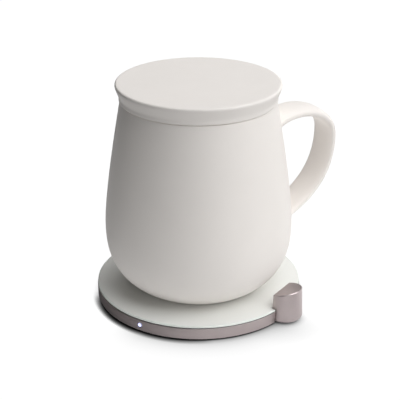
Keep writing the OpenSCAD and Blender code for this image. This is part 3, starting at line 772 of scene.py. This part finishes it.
def make_foot():
    """Silicone disc under the pad, with rounded edges."""
    top = high_of("foot_pad").z
    edge = edge_steps(FOOT_EDGE, 4)
    layers = [(FOOT_R - FOOT_EDGE - FACE_STEP, 0)]
    layers += [(FOOT_R - inset, drop) for inset, drop in reversed(edge)]
    layers += [(FOOT_R, top), (FOOT_R - FACE_STEP, top)]
    dress(notched_disc("foot_disc", layers), "pad", "black_silicone", "foot_pad")


def make_rim():
    """Aluminium rim with eased edges and the bore for the light."""
    inner = PAD_R - RIM_WALL
    profile = [(inner, RIM_LOW)]
    profile += [(PAD_R - inset, RIM_LOW + drop) for inset, drop in reversed(edge_steps(RIM_EDGE, 4))]
    profile += [(PAD_R - inset, RIM_TOP - drop) for inset, drop in edge_steps(RIM_TOP_EDGE, 4)]
    profile += [(inner, RIM_TOP)]
    rim = notched_ring("rim_band", profile)
    bore_r = LIGHT_R + LIGHT_GAP
    ring_r = bore_r + LIGHT_RING_W
    step = PAD_R - LIGHT_RING_DEPTH
    start, end = inner - CUT_PAST, PAD_R + CUT_PAST
    bore = [(0, start), (bore_r, start), (bore_r, step), (ring_r, step), (ring_r, end), (0, end)]
    carve(rim, at_light(lathe("bore", bore, 48)), RIM_SHARP)
    dress(rim, "pad", "rim_aluminium", "rim_ring")


def at_light(piece):
    """Moves a mesh with its axis along Z to the light's axis in the rim."""
    c, s = math.cos(LIGHT_TURN), math.sin(LIGHT_TURN)
    return stand(piece, (0, 0, LIGHT_Z), (-s, c, 0), (0, 0, 1), (c, s, 0))


def make_light():
    """Light pipe with its collar and a low dome in the rim's face."""
    collar = PAD_R - RIM_WALL - LIGHT_COLLAR_L - LIGHT_GAP
    dome = edge_steps(LIGHT_DOME, 5)
    profile = [
        (0, LIGHT_START), (LIGHT_R, LIGHT_START), (LIGHT_R, collar), (LIGHT_COLLAR_R, collar),
        (LIGHT_COLLAR_R, collar + LIGHT_COLLAR_L), (LIGHT_R, collar + LIGHT_COLLAR_L),
    ]
    profile += [(LIGHT_R - inset, PAD_R + LIGHT_DOME / 2 - drop) for inset, drop in dome]
    profile += [(0, PAD_R + LIGHT_DOME / 2)]
    dress(at_light(lathe("light_lens", profile, 48)), "pad", "light_plastic", "light_pipe")


def make_gasket():
    """Dark line between rim and glass."""
    inner = GASKET_R - GASKET_W
    profile = [(inner, RIM_TOP), (GASKET_R, RIM_TOP), (GASKET_R, GLASS_LOW), (inner, GLASS_LOW)]
    gasket = notched_ring("gasket_line", profile)
    dress(gasket, "pad", "black_silicone", "glass_gasket")


def make_glass():
    """Glass disc with a polished round edge."""
    edge = edge_steps(GLASS_EDGE, 6)
    layers = [(GLASS_R - FACE_STEP, GLASS_LOW), (GLASS_R - GLASS_LOW_EDGE, GLASS_LOW)]
    layers += [(GLASS_R, GLASS_LOW + GLASS_LOW_EDGE)]
    layers += [(GLASS_R - inset, PAD_TOP - drop) for inset, drop in edge]
    layers += [(GLASS_R - GLASS_EDGE - FACE_STEP / 2, PAD_TOP)]
    dress(notched_disc("glass_disc", layers), "pad", "white_glass", "glass_top")


def make_post():
    """Hollow post with a sloping top, eased edges, the socket's slot and the fixing tongue."""
    rings = []
    foot_r = post_r_at(POST_LOW + POST_FOOT_EDGE)
    for inset, drop in reversed(edge_steps(POST_FOOT_EDGE, 8)):
        outline = post_outline(foot_r - inset, POST_FLAT, POST_CORNER)
        rings.append([(x, y, POST_LOW + drop) for x, y in outline])
    for inset, drop in chamfer_steps(POST_CHAMFER):
        outline = post_outline(POST_R - inset, POST_FLAT - inset, POST_CORNER - inset)
        rings.append([(x, y, POST_TOP + POST_RISE * x - drop) for x, y in outline])
    post = loft("post_body", rings, POST_SHARP)
    plan = post_outline(POST_R - POST_WALL, POST_FLAT - POST_WALL, POST_CORNER)
    heights = (POST_LOW - CUT_PAST / 2, POST_CAVITY_TOP)
    cavity = loft("cavity", [[(x, y, z) for x, y in plan] for z in heights])
    carve(post, cavity, POST_SHARP)
    carve(post, slot_cutter(), POST_SHARP)
    tongue = block("tongue", TONGUE_L + POST_WALL / 2, TONGUE_W, TONGUE_T)
    tongue.data.transform(Matrix.Translation(Vector((-POST_FLAT - TONGUE_L, 0, TONGUE_LOW)) * MM))
    carve(post, tongue, POST_SHARP, "UNION")
    dress(at_post(post), "pad", "rim_aluminium", "post_shell")


def block(name, length, width, height):
    """Block that starts at the origin along x, centred along y, standing on z = 0."""
    half = width / 2
    plan = [(0, -half), (length, -half), (length, half), (0, half)]
    return loft(name, [[(x, y, z) for x, y in plan] for z in (0, height)])


def slot_cutter():
    """Long hole with round ends for the socket, along y out of the post's round side."""
    half = (SLOT_W - SLOT_T) / 2
    plan = arc((0, half), SLOT_T / 2, 0, math.pi, 12) + arc((0, -half), SLOT_T / 2, math.pi, TAU, 12)
    ways = (0, POST_R + CUT_PAST)
    return loft("slot", [[(SLOT_X + x, y, SLOT_Z + z) for x, z in plan] for y in ways])


# Mug pieces


def mug_outside(steps):
    """Outside of the mug from foot to lip: a full lower bowl, then a long slow taper."""
    lip = (LIP_R, MUG_H - LIP_EDGE)
    bowl_low = (MUG_R - BOWL_LOW_PULL[0], BOWL_LOW_PULL[1])
    bowl = [(MUG_FOOT_R, 0), bowl_low, (MUG_R, BELLY_H - BOWL_HIGH_PULL), (MUG_R, BELLY_H)]
    taper_high = (LIP_R + TAPER_HIGH_PULL[0], lip[1] - TAPER_HIGH_PULL[1])
    taper = [(MUG_R, BELLY_H), (MUG_R, BELLY_H + TAPER_LOW_PULL), taper_high, lip]
    return bezier(bowl, steps) + bezier(taper, steps) + [lip]


def mug_inside(steps):
    """Inside of the mug from the throat down to the floor."""
    inner = MUG_R - MUG_WALL
    throat_r = LIP_R - LIP_T
    throat = (throat_r, MUG_H - THROAT_H)
    throat_low = (throat_r + THROAT_PULL[0], throat[1] - THROAT_PULL[1])
    taper = [throat, throat_low, (inner, BELLY_H + TAPER_LOW_PULL), (inner, BELLY_H)]
    floor = (MUG_FLOOR_R, MUG_FLOOR_Z)
    bowl_high = (inner, BELLY_H - INNER_BOWL_PULL)
    bowl = [(inner, BELLY_H), bowl_high, (inner - MUG_FLOOR_PULL, MUG_FLOOR_Z), floor]
    return bezier(taper, steps) + bezier(bowl, steps) + [floor]


def make_mug():
    """Ceramic body, open at the top, with a foot ring round the heater's recess."""
    edge = FOOT_RING_EDGE
    throat_r = LIP_R - LIP_T
    profile = [(0, RECESS_H), (RECESS_R, RECESS_H)]
    profile += arc((RECESS_R + edge, edge), edge, math.pi, 1.5 * math.pi, 4)
    corner_out = (MUG_FOOT_R + FOOT_CORNER_OUT[0], FOOT_CORNER_OUT[1])
    corner_end = MUG_FOOT_R + FOOT_CORNER_END
    outside = [p for p in mug_outside(48) if p[0] > corner_end or p[1] > edge]
    profile += [(MUG_FOOT_R - FOOT_CORNER_IN, 0), corner_out] + outside
    profile += arc((LIP_R - LIP_EDGE, MUG_H - LIP_EDGE), LIP_EDGE, LIP_EDGE_START, math.pi / 2, 6)
    profile += arc((throat_r + LIP_EDGE, MUG_H - LIP_EDGE), LIP_EDGE, math.pi / 2, math.pi, 6)
    profile += mug_inside(40) + [(0, MUG_FLOOR_Z)]
    mug = lathe("mug_shell", [(r, MUG_Z + z) for r, z in profile], 256)
    dress(mug, "mug", "white_ceramic", "mug_body")


WALL = mug_outside(64)


def wall_at(z):
    """Radius of the mug's outside at a height above its foot, and its slope."""
    for (r0, z0), (r1, z1) in zip(WALL, WALL[1:]):
        if z <= z1 or (r1, z1) == WALL[-1]:
            slope = (r1 - r0) / (z1 - z0)
            return r0 + slope * (z - z0), slope
    raise ValueError(z)


def handle_line(steps):
    """Middle line of the handle: an arm that bows out from the mug and a long leg back to it."""
    start = Vector((wall_at(HANDLE_TOP)[0], HANDLE_TOP))
    end = Vector((wall_at(HANDLE_LOW)[0], HANDLE_LOW))
    widest = Vector((HANDLE_REACH, HANDLE_WIDEST_Z))
    arm = [start, start + Vector(ARM_LOW_PULL), widest + Vector(ARM_HIGH_PULL), widest]
    leg = [widest, widest + Vector(LEG_HIGH_PULL), end + Vector(LEG_LOW_PULL), end]
    return bezier(arm, steps) + bezier(leg, steps) + [tuple(end)]


def bent(value, power):
    """A number raised to a power with its sign kept."""
    return math.copysign(abs(value) ** power, value)


def band_outline(width, thickness, steps=48):
    """Squared ellipse across and through the band, with the way out at each point."""
    power = 2 / HANDLE_SQUARE
    found = []
    for i in range(steps):
        turn = TAU * (i + 0.5) / steps
        c, s = math.cos(turn), math.sin(turn)
        point = (bent(c, power) * width / 2, bent(s, power) * thickness / 2)
        way = Vector((bent(c, 2 - power) / width, bent(s, 2 - power) / thickness)).normalized()
        found.append((point, way))
    return found


def line_point(line, lengths, s):
    """Point and direction at a length along a line, run on straight past its ends."""
    last = len(line) - 1
    k = 0
    while k < last - 1 and lengths[k + 1] < s:
        k += 1
    a, b = Vector(line[k]), Vector(line[k + 1])
    t = (s - lengths[k]) / (lengths[k + 1] - lengths[k])
    before = Vector(line[max(k - 1, 0)])
    after = Vector(line[min(k + 2, last)])
    clear = min(max(t, 0), 1)
    way = ((b - before).normalized() * (1 - clear) + (after - a).normalized() * clear).normalized()
    return a + (b - a) * t, way


def band_point(line, lengths, s, k):
    """Point k of the band's outline at a length along the line, and the way out from the band."""
    share = min(max(s / lengths[-1], 0), 1)
    thickness = HANDLE_T_TOP + (HANDLE_T_LOW - HANDLE_T_TOP) * share
    (across, through), (way_across, way_through) = band_outline(HANDLE_W, thickness)[k]
    middle, way = line_point(line, lengths, s)
    point = Vector((middle.x - through * way.y, across, middle.y + through * way.x))
    out = Vector((-way_through * way.y, way_across, way_through * way.x))
    return point, out


def clearance(point):
    """Distance of a point from the mug's wall, measured level."""
    return math.hypot(point.x, point.y) - wall_at(point.z)[0]


def meeting(line, lengths, k, outside, inside):
    """Length along the line at which a strand of the band meets the mug's wall."""
    for _ in range(HALVINGS):
        middle = (outside + inside) / 2
        if clearance(band_point(line, lengths, middle, k)[0]) > 0:
            outside = middle
        else:
            inside = middle
    return inside


def flared(point, out):
    """Point of the band moved out along the mug's wall, as in a round fillet."""
    gap = max(clearance(point), 0)
    if gap >= HANDLE_FILLET:
        return point
    slope = wall_at(point.z)[1]
    round_way = Vector((point.x, point.y, 0)).normalized()
    normal = (round_way - Vector((0, 0, slope))).normalized()
    along = (out - out.dot(normal) * normal).normalized()
    reach = HANDLE_FILLET - math.sqrt(HANDLE_FILLET ** 2 - (HANDLE_FILLET - gap) ** 2)
    moved = point + along * reach
    radius = wall_at(moved.z)[0] + gap - HANDLE_SINK
    flat = Vector((moved.x, moved.y, 0)).normalized() * radius
    return Vector((flat.x, flat.y, moved.z))


def make_handle():
    """Flat band that grows out of the wall with a small fillet at each joint."""
    line = handle_line(60)
    lengths = [0]
    for a, b in zip(line, line[1:]):
        lengths.append(lengths[-1] + (Vector(b) - Vector(a)).length)
    whole = lengths[-1]
    count = len(band_outline(HANDLE_W, HANDLE_T_TOP))
    strands = []
    for k in range(count):
        start = meeting(line, lengths, k, HANDLE_CLEAR, -HANDLE_INTO_TOP)
        end = meeting(line, lengths, k, whole - HANDLE_CLEAR, whole + HANDLE_INTO_LOW)
        strand = []
        for i in range(HANDLE_STEPS + 1):
            share = (1 - math.cos(math.pi * i / HANDLE_STEPS)) / 2
            point, out = band_point(line, lengths, start + (end - start) * share, k)
            strand.append(flared(point, out) + Vector((0, 0, MUG_Z)))
        strands.append(strand)
    rings = [[strand[i] for strand in strands] for i in range(HANDLE_STEPS + 1)]
    dress(loft("handle_band", rings, HANDLE_SHARP), "mug", "white_ceramic", "mug_handle")


def make_coil(name, node, outer_r, turns, turn_from):
    """Flat spiral of a wire bundle with rounded corners, one unbroken piece."""
    pitch = (outer_r - COIL_EYE_R) / (turns + 1)
    width = pitch - COIL_GAP
    low, high = low_of(node).z, high_of(node).z
    in_x, out_x = COIL_EDGE, width - COIL_EDGE
    in_z, out_z = low + COIL_EDGE, high - COIL_EDGE
    corners = ((out_x, out_z), (in_x, out_z), (in_x, in_z), (out_x, in_z))
    outline = []
    for k, centre in enumerate(corners):
        outline += arc(centre, COIL_EDGE, k * TAU / 4, (k + 1) * TAU / 4, 3)
    rings = []
    for i in range(turns * COIL_STEPS + 1):
        a = turn_from + TAU * i / COIL_STEPS
        c, s = math.cos(a), math.sin(a)
        r = COIL_EYE_R + pitch * i / COIL_STEPS
        rings.append([((r + across) * c, (r + across) * s, z) for across, z in outline])
    return loft(name, rings)


# Lid pieces


def make_lid():
    """Ceramic lid with a flared side over a short band, a dished top and a grooved plug below."""
    band_top = Vector((LID_BASE_R, LID_BAND_H))
    edge_centre = Vector((LID_R - LID_EDGE, LID_H - LID_EDGE))
    out = Vector((math.cos(LID_EDGE_TILT), -math.sin(LID_EDGE_TILT)))
    flare_top = edge_centre + LID_EDGE * out
    flare_pull = LID_HIGH_PULL * Vector((out.y, -out.x))
    flare = [band_top, band_top + Vector(LID_LOW_PULL), flare_top + flare_pull, flare_top]
    dish_r = LID_R - LID_EDGE
    roof = LID_H - LID_DISH - LID_TOP_T
    hollow_r = PLUG_R - PLUG_WALL
    groove_r = PLUG_R - GROOVE_DEPTH
    groove_low, groove_top = RING_LOW - GROOVE_GAP, RING_TOP + GROOVE_GAP
    profile = [(0, roof)]
    profile += arc((hollow_r - PLUG_FILLET, roof - PLUG_FILLET), PLUG_FILLET, math.pi / 2, 0, 8)
    profile += [
        (hollow_r, -PLUG_H), (PLUG_R - PLUG_EDGE, -PLUG_H), (PLUG_R, -PLUG_H + PLUG_EDGE),
        (PLUG_R, groove_low), (groove_r, groove_low), (groove_r, groove_top), (PLUG_R, groove_top),
        (PLUG_R, 0), (LID_SEAT_R, 0), (LID_SEAT_R, LID_SEAM),
    ]
    seat_centre = (LID_BASE_R - LID_SEAT_EDGE, LID_SEAM + LID_SEAT_EDGE)
    profile += arc(seat_centre, LID_SEAT_EDGE, -math.pi / 2, LID_SEAT_EDGE_END, 4)
    profile += bezier(flare, 30)
    profile += arc(edge_centre, LID_EDGE, -LID_EDGE_TILT, math.pi / 2, 10)
    for i in range(1, LID_DISH_STEPS + 1):
        share = 1 - i / LID_DISH_STEPS
        profile.append((dish_r * share, LID_H - LID_DISH * (1 - share ** 4)))
    lid = lathe("lid_disc", [(r, LID_Z + z) for r, z in profile], 256, sharp=LID_SHARP)
    dress(lid, "lid", "lid_ceramic", "lid_cap")


def make_lid_ring():
    """Silicone ring in the plug's groove, with two soft lips."""
    back = PLUG_R - GROOVE_DEPTH + GROOVE_GAP
    root = PLUG_R + RING_ROOT
    height = RING_TOP - RING_LOW
    profile = [(back, RING_LOW), (root, RING_LOW)]
    for k in (0, 2):
        tip = (RING_R - RING_TIP_R, RING_LOW + (k + 1) * height / 4)
        profile += arc(tip, RING_TIP_R, -math.pi / 2, math.pi / 2, 5)
        profile += [(root, RING_LOW + (k + RING_LIP_END) * height / 4)]
    profile += [(root, RING_TOP), (back, RING_TOP)]
    ring = lathe("lid_ring", [(r, LID_Z + z) for r, z in profile], closed=True)
    dress(ring, "lid", "clear_silicone", "lid_seal")


# Studio


def make_camera():
    """Camera at the photograph's place, turned to the object's axis and pitched down."""
    data = bpy.data.cameras.new("camera")
    data.sensor_width = SENSOR_W
    data.lens = FOCAL_PIXELS / PHOTO_SIDE * data.sensor_width
    data.shift_x = (PHOTO_SIDE / 2 - AXIS_PIXEL_X) / PHOTO_SIDE
    data.clip_start = CLIP_START
    data.clip_end = CLIP_END
    camera = bpy.data.objects.new("camera", data)
    c, s = math.cos(CAMERA_TURN), math.sin(CAMERA_TURN)
    camera.location = Vector((CAMERA_OUT * c, CAMERA_OUT * s, CAMERA_HEIGHT)) * MM
    camera.rotation_euler = (math.pi / 2 - CAMERA_PITCH, 0, CAMERA_TURN + math.pi / 2)
    bpy.context.scene.collection.objects.link(camera)
    bpy.context.scene.camera = camera


def backdrop_share(tree, where, start, end):
    """From 0 to 1 as a place or a direction goes from the camera's side to the backdrop's."""
    turn = CAMERA_TURN + BACKDROP_TURN
    far = {0: where, 1: (math.cos(turn), math.sin(turn), 0)}
    way = new_node(tree, "ShaderNodeVectorMath", far, operation="DOT_PRODUCT").outputs["Value"]
    return spread(tree, way, 0, 1, start, end)


def seen_directly(tree, far):
    """1 for a ray from the camera, the far side's share for one from a mirror or glass, else 0."""
    path = new_node(tree, "ShaderNodeLightPath")
    sent_on = {0: path.outputs["Is Glossy Ray"], 1: path.outputs["Is Transmission Ray"]}
    either = new_node(tree, "ShaderNodeMath", sent_on, operation="MAXIMUM").outputs["Value"]
    direct = {0: path.outputs["Is Camera Ray"], 1: product(tree, either, far)}
    return new_node(tree, "ShaderNodeMath", direct, operation="MAXIMUM").outputs["Value"]


def make_world():
    """Faint even light from all round, with a white backdrop where it is seen."""
    world = bpy.data.worlds.new("studio")
    world.use_nodes = True
    tree = world.node_tree
    light = tree.nodes["Background"]
    light.inputs["Strength"].default_value = WORLD_STRENGTH
    light.inputs["Color"].default_value = (1, 1, 1, 1)
    white = new_node(tree, "ShaderNodeBackground", {"Color": (1, 1, 1, 1), "Strength": 1.0})
    way = new_node(tree, "ShaderNodeTexCoord").outputs["Generated"]
    up = new_node(tree, "ShaderNodeSeparateXYZ", {"Vector": way}).outputs["Z"]
    band = product(tree, spread(tree, up, 0, 1, *BACKDROP_RISE), spread(tree, up, 1, 0, *BACKDROP_FADE))
    seen = seen_directly(tree, product(tree, band, backdrop_share(tree, way, *BACKDROP_WAY)))
    mix = new_node(tree, "ShaderNodeMixShader", {0: seen, 1: light.outputs[0], 2: white.outputs[0]})
    tree.links.new(mix.outputs[0], tree.nodes["World Output"].inputs["Surface"])
    bpy.context.scene.world = world


def open_share(tree, reach):
    """Share of the sky over a point that nothing within a reach in millimetres hides."""
    values = {"Distance": reach * MM}
    return new_node(tree, "ShaderNodeAmbientOcclusion", values, samples=32).outputs["AO"]


def raised(tree, value, power):
    """One number to the power of another."""
    return new_node(tree, "ShaderNodeMath", {0: value, 1: power}, operation="POWER").outputs["Value"]


def turned_to(tree, where, turn, wide, narrow):
    """From 0 to 1 as a place comes round to a turn from the camera, between two angles off it."""
    a = CAMERA_TURN + math.radians(turn)
    flat = new_node(tree, "ShaderNodeVectorMath", {0: where}, operation="NORMALIZE").outputs["Vector"]
    off = {0: flat, 1: (math.cos(a), math.sin(a), 0)}
    way = new_node(tree, "ShaderNodeVectorMath", off, operation="DOT_PRODUCT").outputs["Value"]
    return spread(tree, way, 0, 1, math.cos(math.radians(wide)), math.cos(math.radians(narrow)))


def contact_shade(tree, where):
    """Share of light left on the floor near the object: soft in front, tight and dark to the front left."""
    soft = raised(tree, open_share(tree, SOFT_SHADE), turned_to(tree, where, *SOFT_SHADE_TURN))
    left = turned_to(tree, where, *CLOSE_SHADE_TURN)
    darkest = turned_to(tree, where, *DARKEST_TURN)
    both = new_node(tree, "ShaderNodeMath", {0: left, 1: darkest}, operation="ADD").outputs["Value"]
    depth = {0: both, 1: TURNED_POWER, 2: LEAST_POWER}
    power = new_node(tree, "ShaderNodeMath", depth, operation="MULTIPLY_ADD").outputs["Value"]
    line = raised(tree, open_share(tree, LINE_SHADE), LINE_POWER)
    return product(tree, product(tree, soft, line), raised(tree, open_share(tree, CLOSE_SHADE), power))


def table_colours(tree, where):
    """Grey of the table under the lamps, and its painted shade in mirrors: dark left, light right."""
    table = between(tree, noise(tree, where, FLOOR_CLOUD), *(grey(v) for v in FLOOR_GREYS))
    left, middle, far_right = (grey(v) for v in MIRROR_SHADE_GREYS)
    right = {0: where, 1: (-math.sin(CAMERA_TURN), math.cos(CAMERA_TURN), 0)}
    across = new_node(tree, "ShaderNodeVectorMath", right, operation="DOT_PRODUCT").outputs["Value"]
    # Painted shade of the floor as mirrors see it, darker towards the left
    rise = spread(tree, across, 0, 1, *(x * MM for x in MIRROR_SHADE_RISE))
    fall = spread(tree, across, 0, 1, *(x * MM for x in MIRROR_SHADE_FALL))
    painted_mirror_shade = between(tree, fall, between(tree, rise, left, middle), far_right)
    return table, painted_mirror_shade


def make_floor():
    """Table, white with a contact shade where it is seen, softly lit near the object, clear from below."""
    half = FLOOR_HALF
    plan = [(-half, -half, 0), (half, -half, 0), (half, half, 0), (-half, half, 0)]
    floor = make_mesh("floor", plan, [(0, 1, 2, 3)], SHARP)
    made = bpy.data.materials.new("floor_white")
    made.use_nodes = True
    tree = made.node_tree
    tree.nodes.clear()
    where = place_in(tree)
    seen = seen_directly(tree, backdrop_share(tree, where, *BACKDROP_FLOOR))
    table, painted_mirror_shade = table_colours(tree, where)
    path = new_node(tree, "ShaderNodeLightPath")
    mirrored = path.outputs["Is Glossy Ray"]
    # Mirrors see the floor with a painted shade, dark to the left
    shade = between(tree, seen, between(tree, mirrored, table, painted_mirror_shade), grey(FLOOR_SEEN_GREY))
    matte = new_node(tree, "ShaderNodeBsdfDiffuse", {"Color": shade})
    out = new_node(tree, "ShaderNodeVectorMath", {0: where}, operation="LENGTH").outputs["Value"]
    side = spread(tree, turned_to(tree, where, *BOUNCE_TURN), SIDE_BOUNCE, BOUNCE, 0, 1)
    near = product(tree, side, spread(tree, out, 1, 0, *(r * MM for r in BOUNCE_FADE)))
    white = product(tree, seen, contact_shade(tree, where))
    shares = {0: path.outputs["Is Diffuse Ray"], 1: near, 2: white}
    strength = new_node(tree, "ShaderNodeMath", shares, operation="MULTIPLY_ADD").outputs["Value"]
    glow = new_node(tree, "ShaderNodeEmission", {"Color": (1, 1, 1, 1), "Strength": strength})
    both = new_node(tree, "ShaderNodeAddShader", {0: matte.outputs[0], 1: glow.outputs[0]})
    behind = new_node(tree, "ShaderNodeNewGeometry").outputs["Backfacing"]
    clear = new_node(tree, "ShaderNodeBsdfTransparent")
    sides = {0: behind, 1: both.outputs[0], 2: clear.outputs[0]}
    mix = new_node(tree, "ShaderNodeMixShader", sides)
    output = new_node(tree, "ShaderNodeOutputMaterial")
    tree.links.new(mix.outputs[0], output.inputs["Surface"])
    floor.data.materials.append(made)


def make_lamp(name, turn, rise, size, power):
    """Square soft light aimed at the mug, at an angle round from the camera and one above the floor."""
    data = bpy.data.lights.new(name, "AREA")
    data.shape = "SQUARE"
    data.size = size
    data.energy = power
    lamp = bpy.data.objects.new(name, data)
    a = CAMERA_TURN + math.radians(turn)
    e = math.radians(rise)
    way = Vector((math.cos(a) * math.cos(e), math.sin(a) * math.cos(e), math.sin(e)))
    lamp.location = way * LAMP_AWAY + Vector((0, 0, LAMP_AIM_Z * MM))
    lamp.rotation_euler = way.to_track_quat("Z", "Y").to_euler()
    bpy.context.scene.collection.objects.link(lamp)
    return lamp


def main():
    """Builds every piece, then the studio."""
    bpy.context.scene.view_settings.view_transform = "Standard"
    dress_cad_nodes()
    make_foot()
    make_rim()
    make_light()
    make_gasket()
    make_glass()
    make_post()
    make_mug()
    make_handle()
    sent = make_coil("sending_winding", "transmit_coil", SENDING_R, SENDING_TURNS, POST_TURN)
    dress(sent, "pad", "copper_wire", "transmit_coil")
    taken = make_coil("taking_winding", "receive_coil", TAKING_R, TAKING_TURNS, 0)
    dress(taken, "mug", "copper_wire", "receive_coil")
    make_lid()
    make_lid_ring()
    make_camera()
    make_world()
    make_floor()
    for name, values in LAMPS.items():
        lamp = make_lamp(name, *values)
        lamp.visible_glossy = name not in UNMIRRORED_LAMPS
        lamp.visible_diffuse = name not in MIRRORED_ONLY_LAMPS


main()
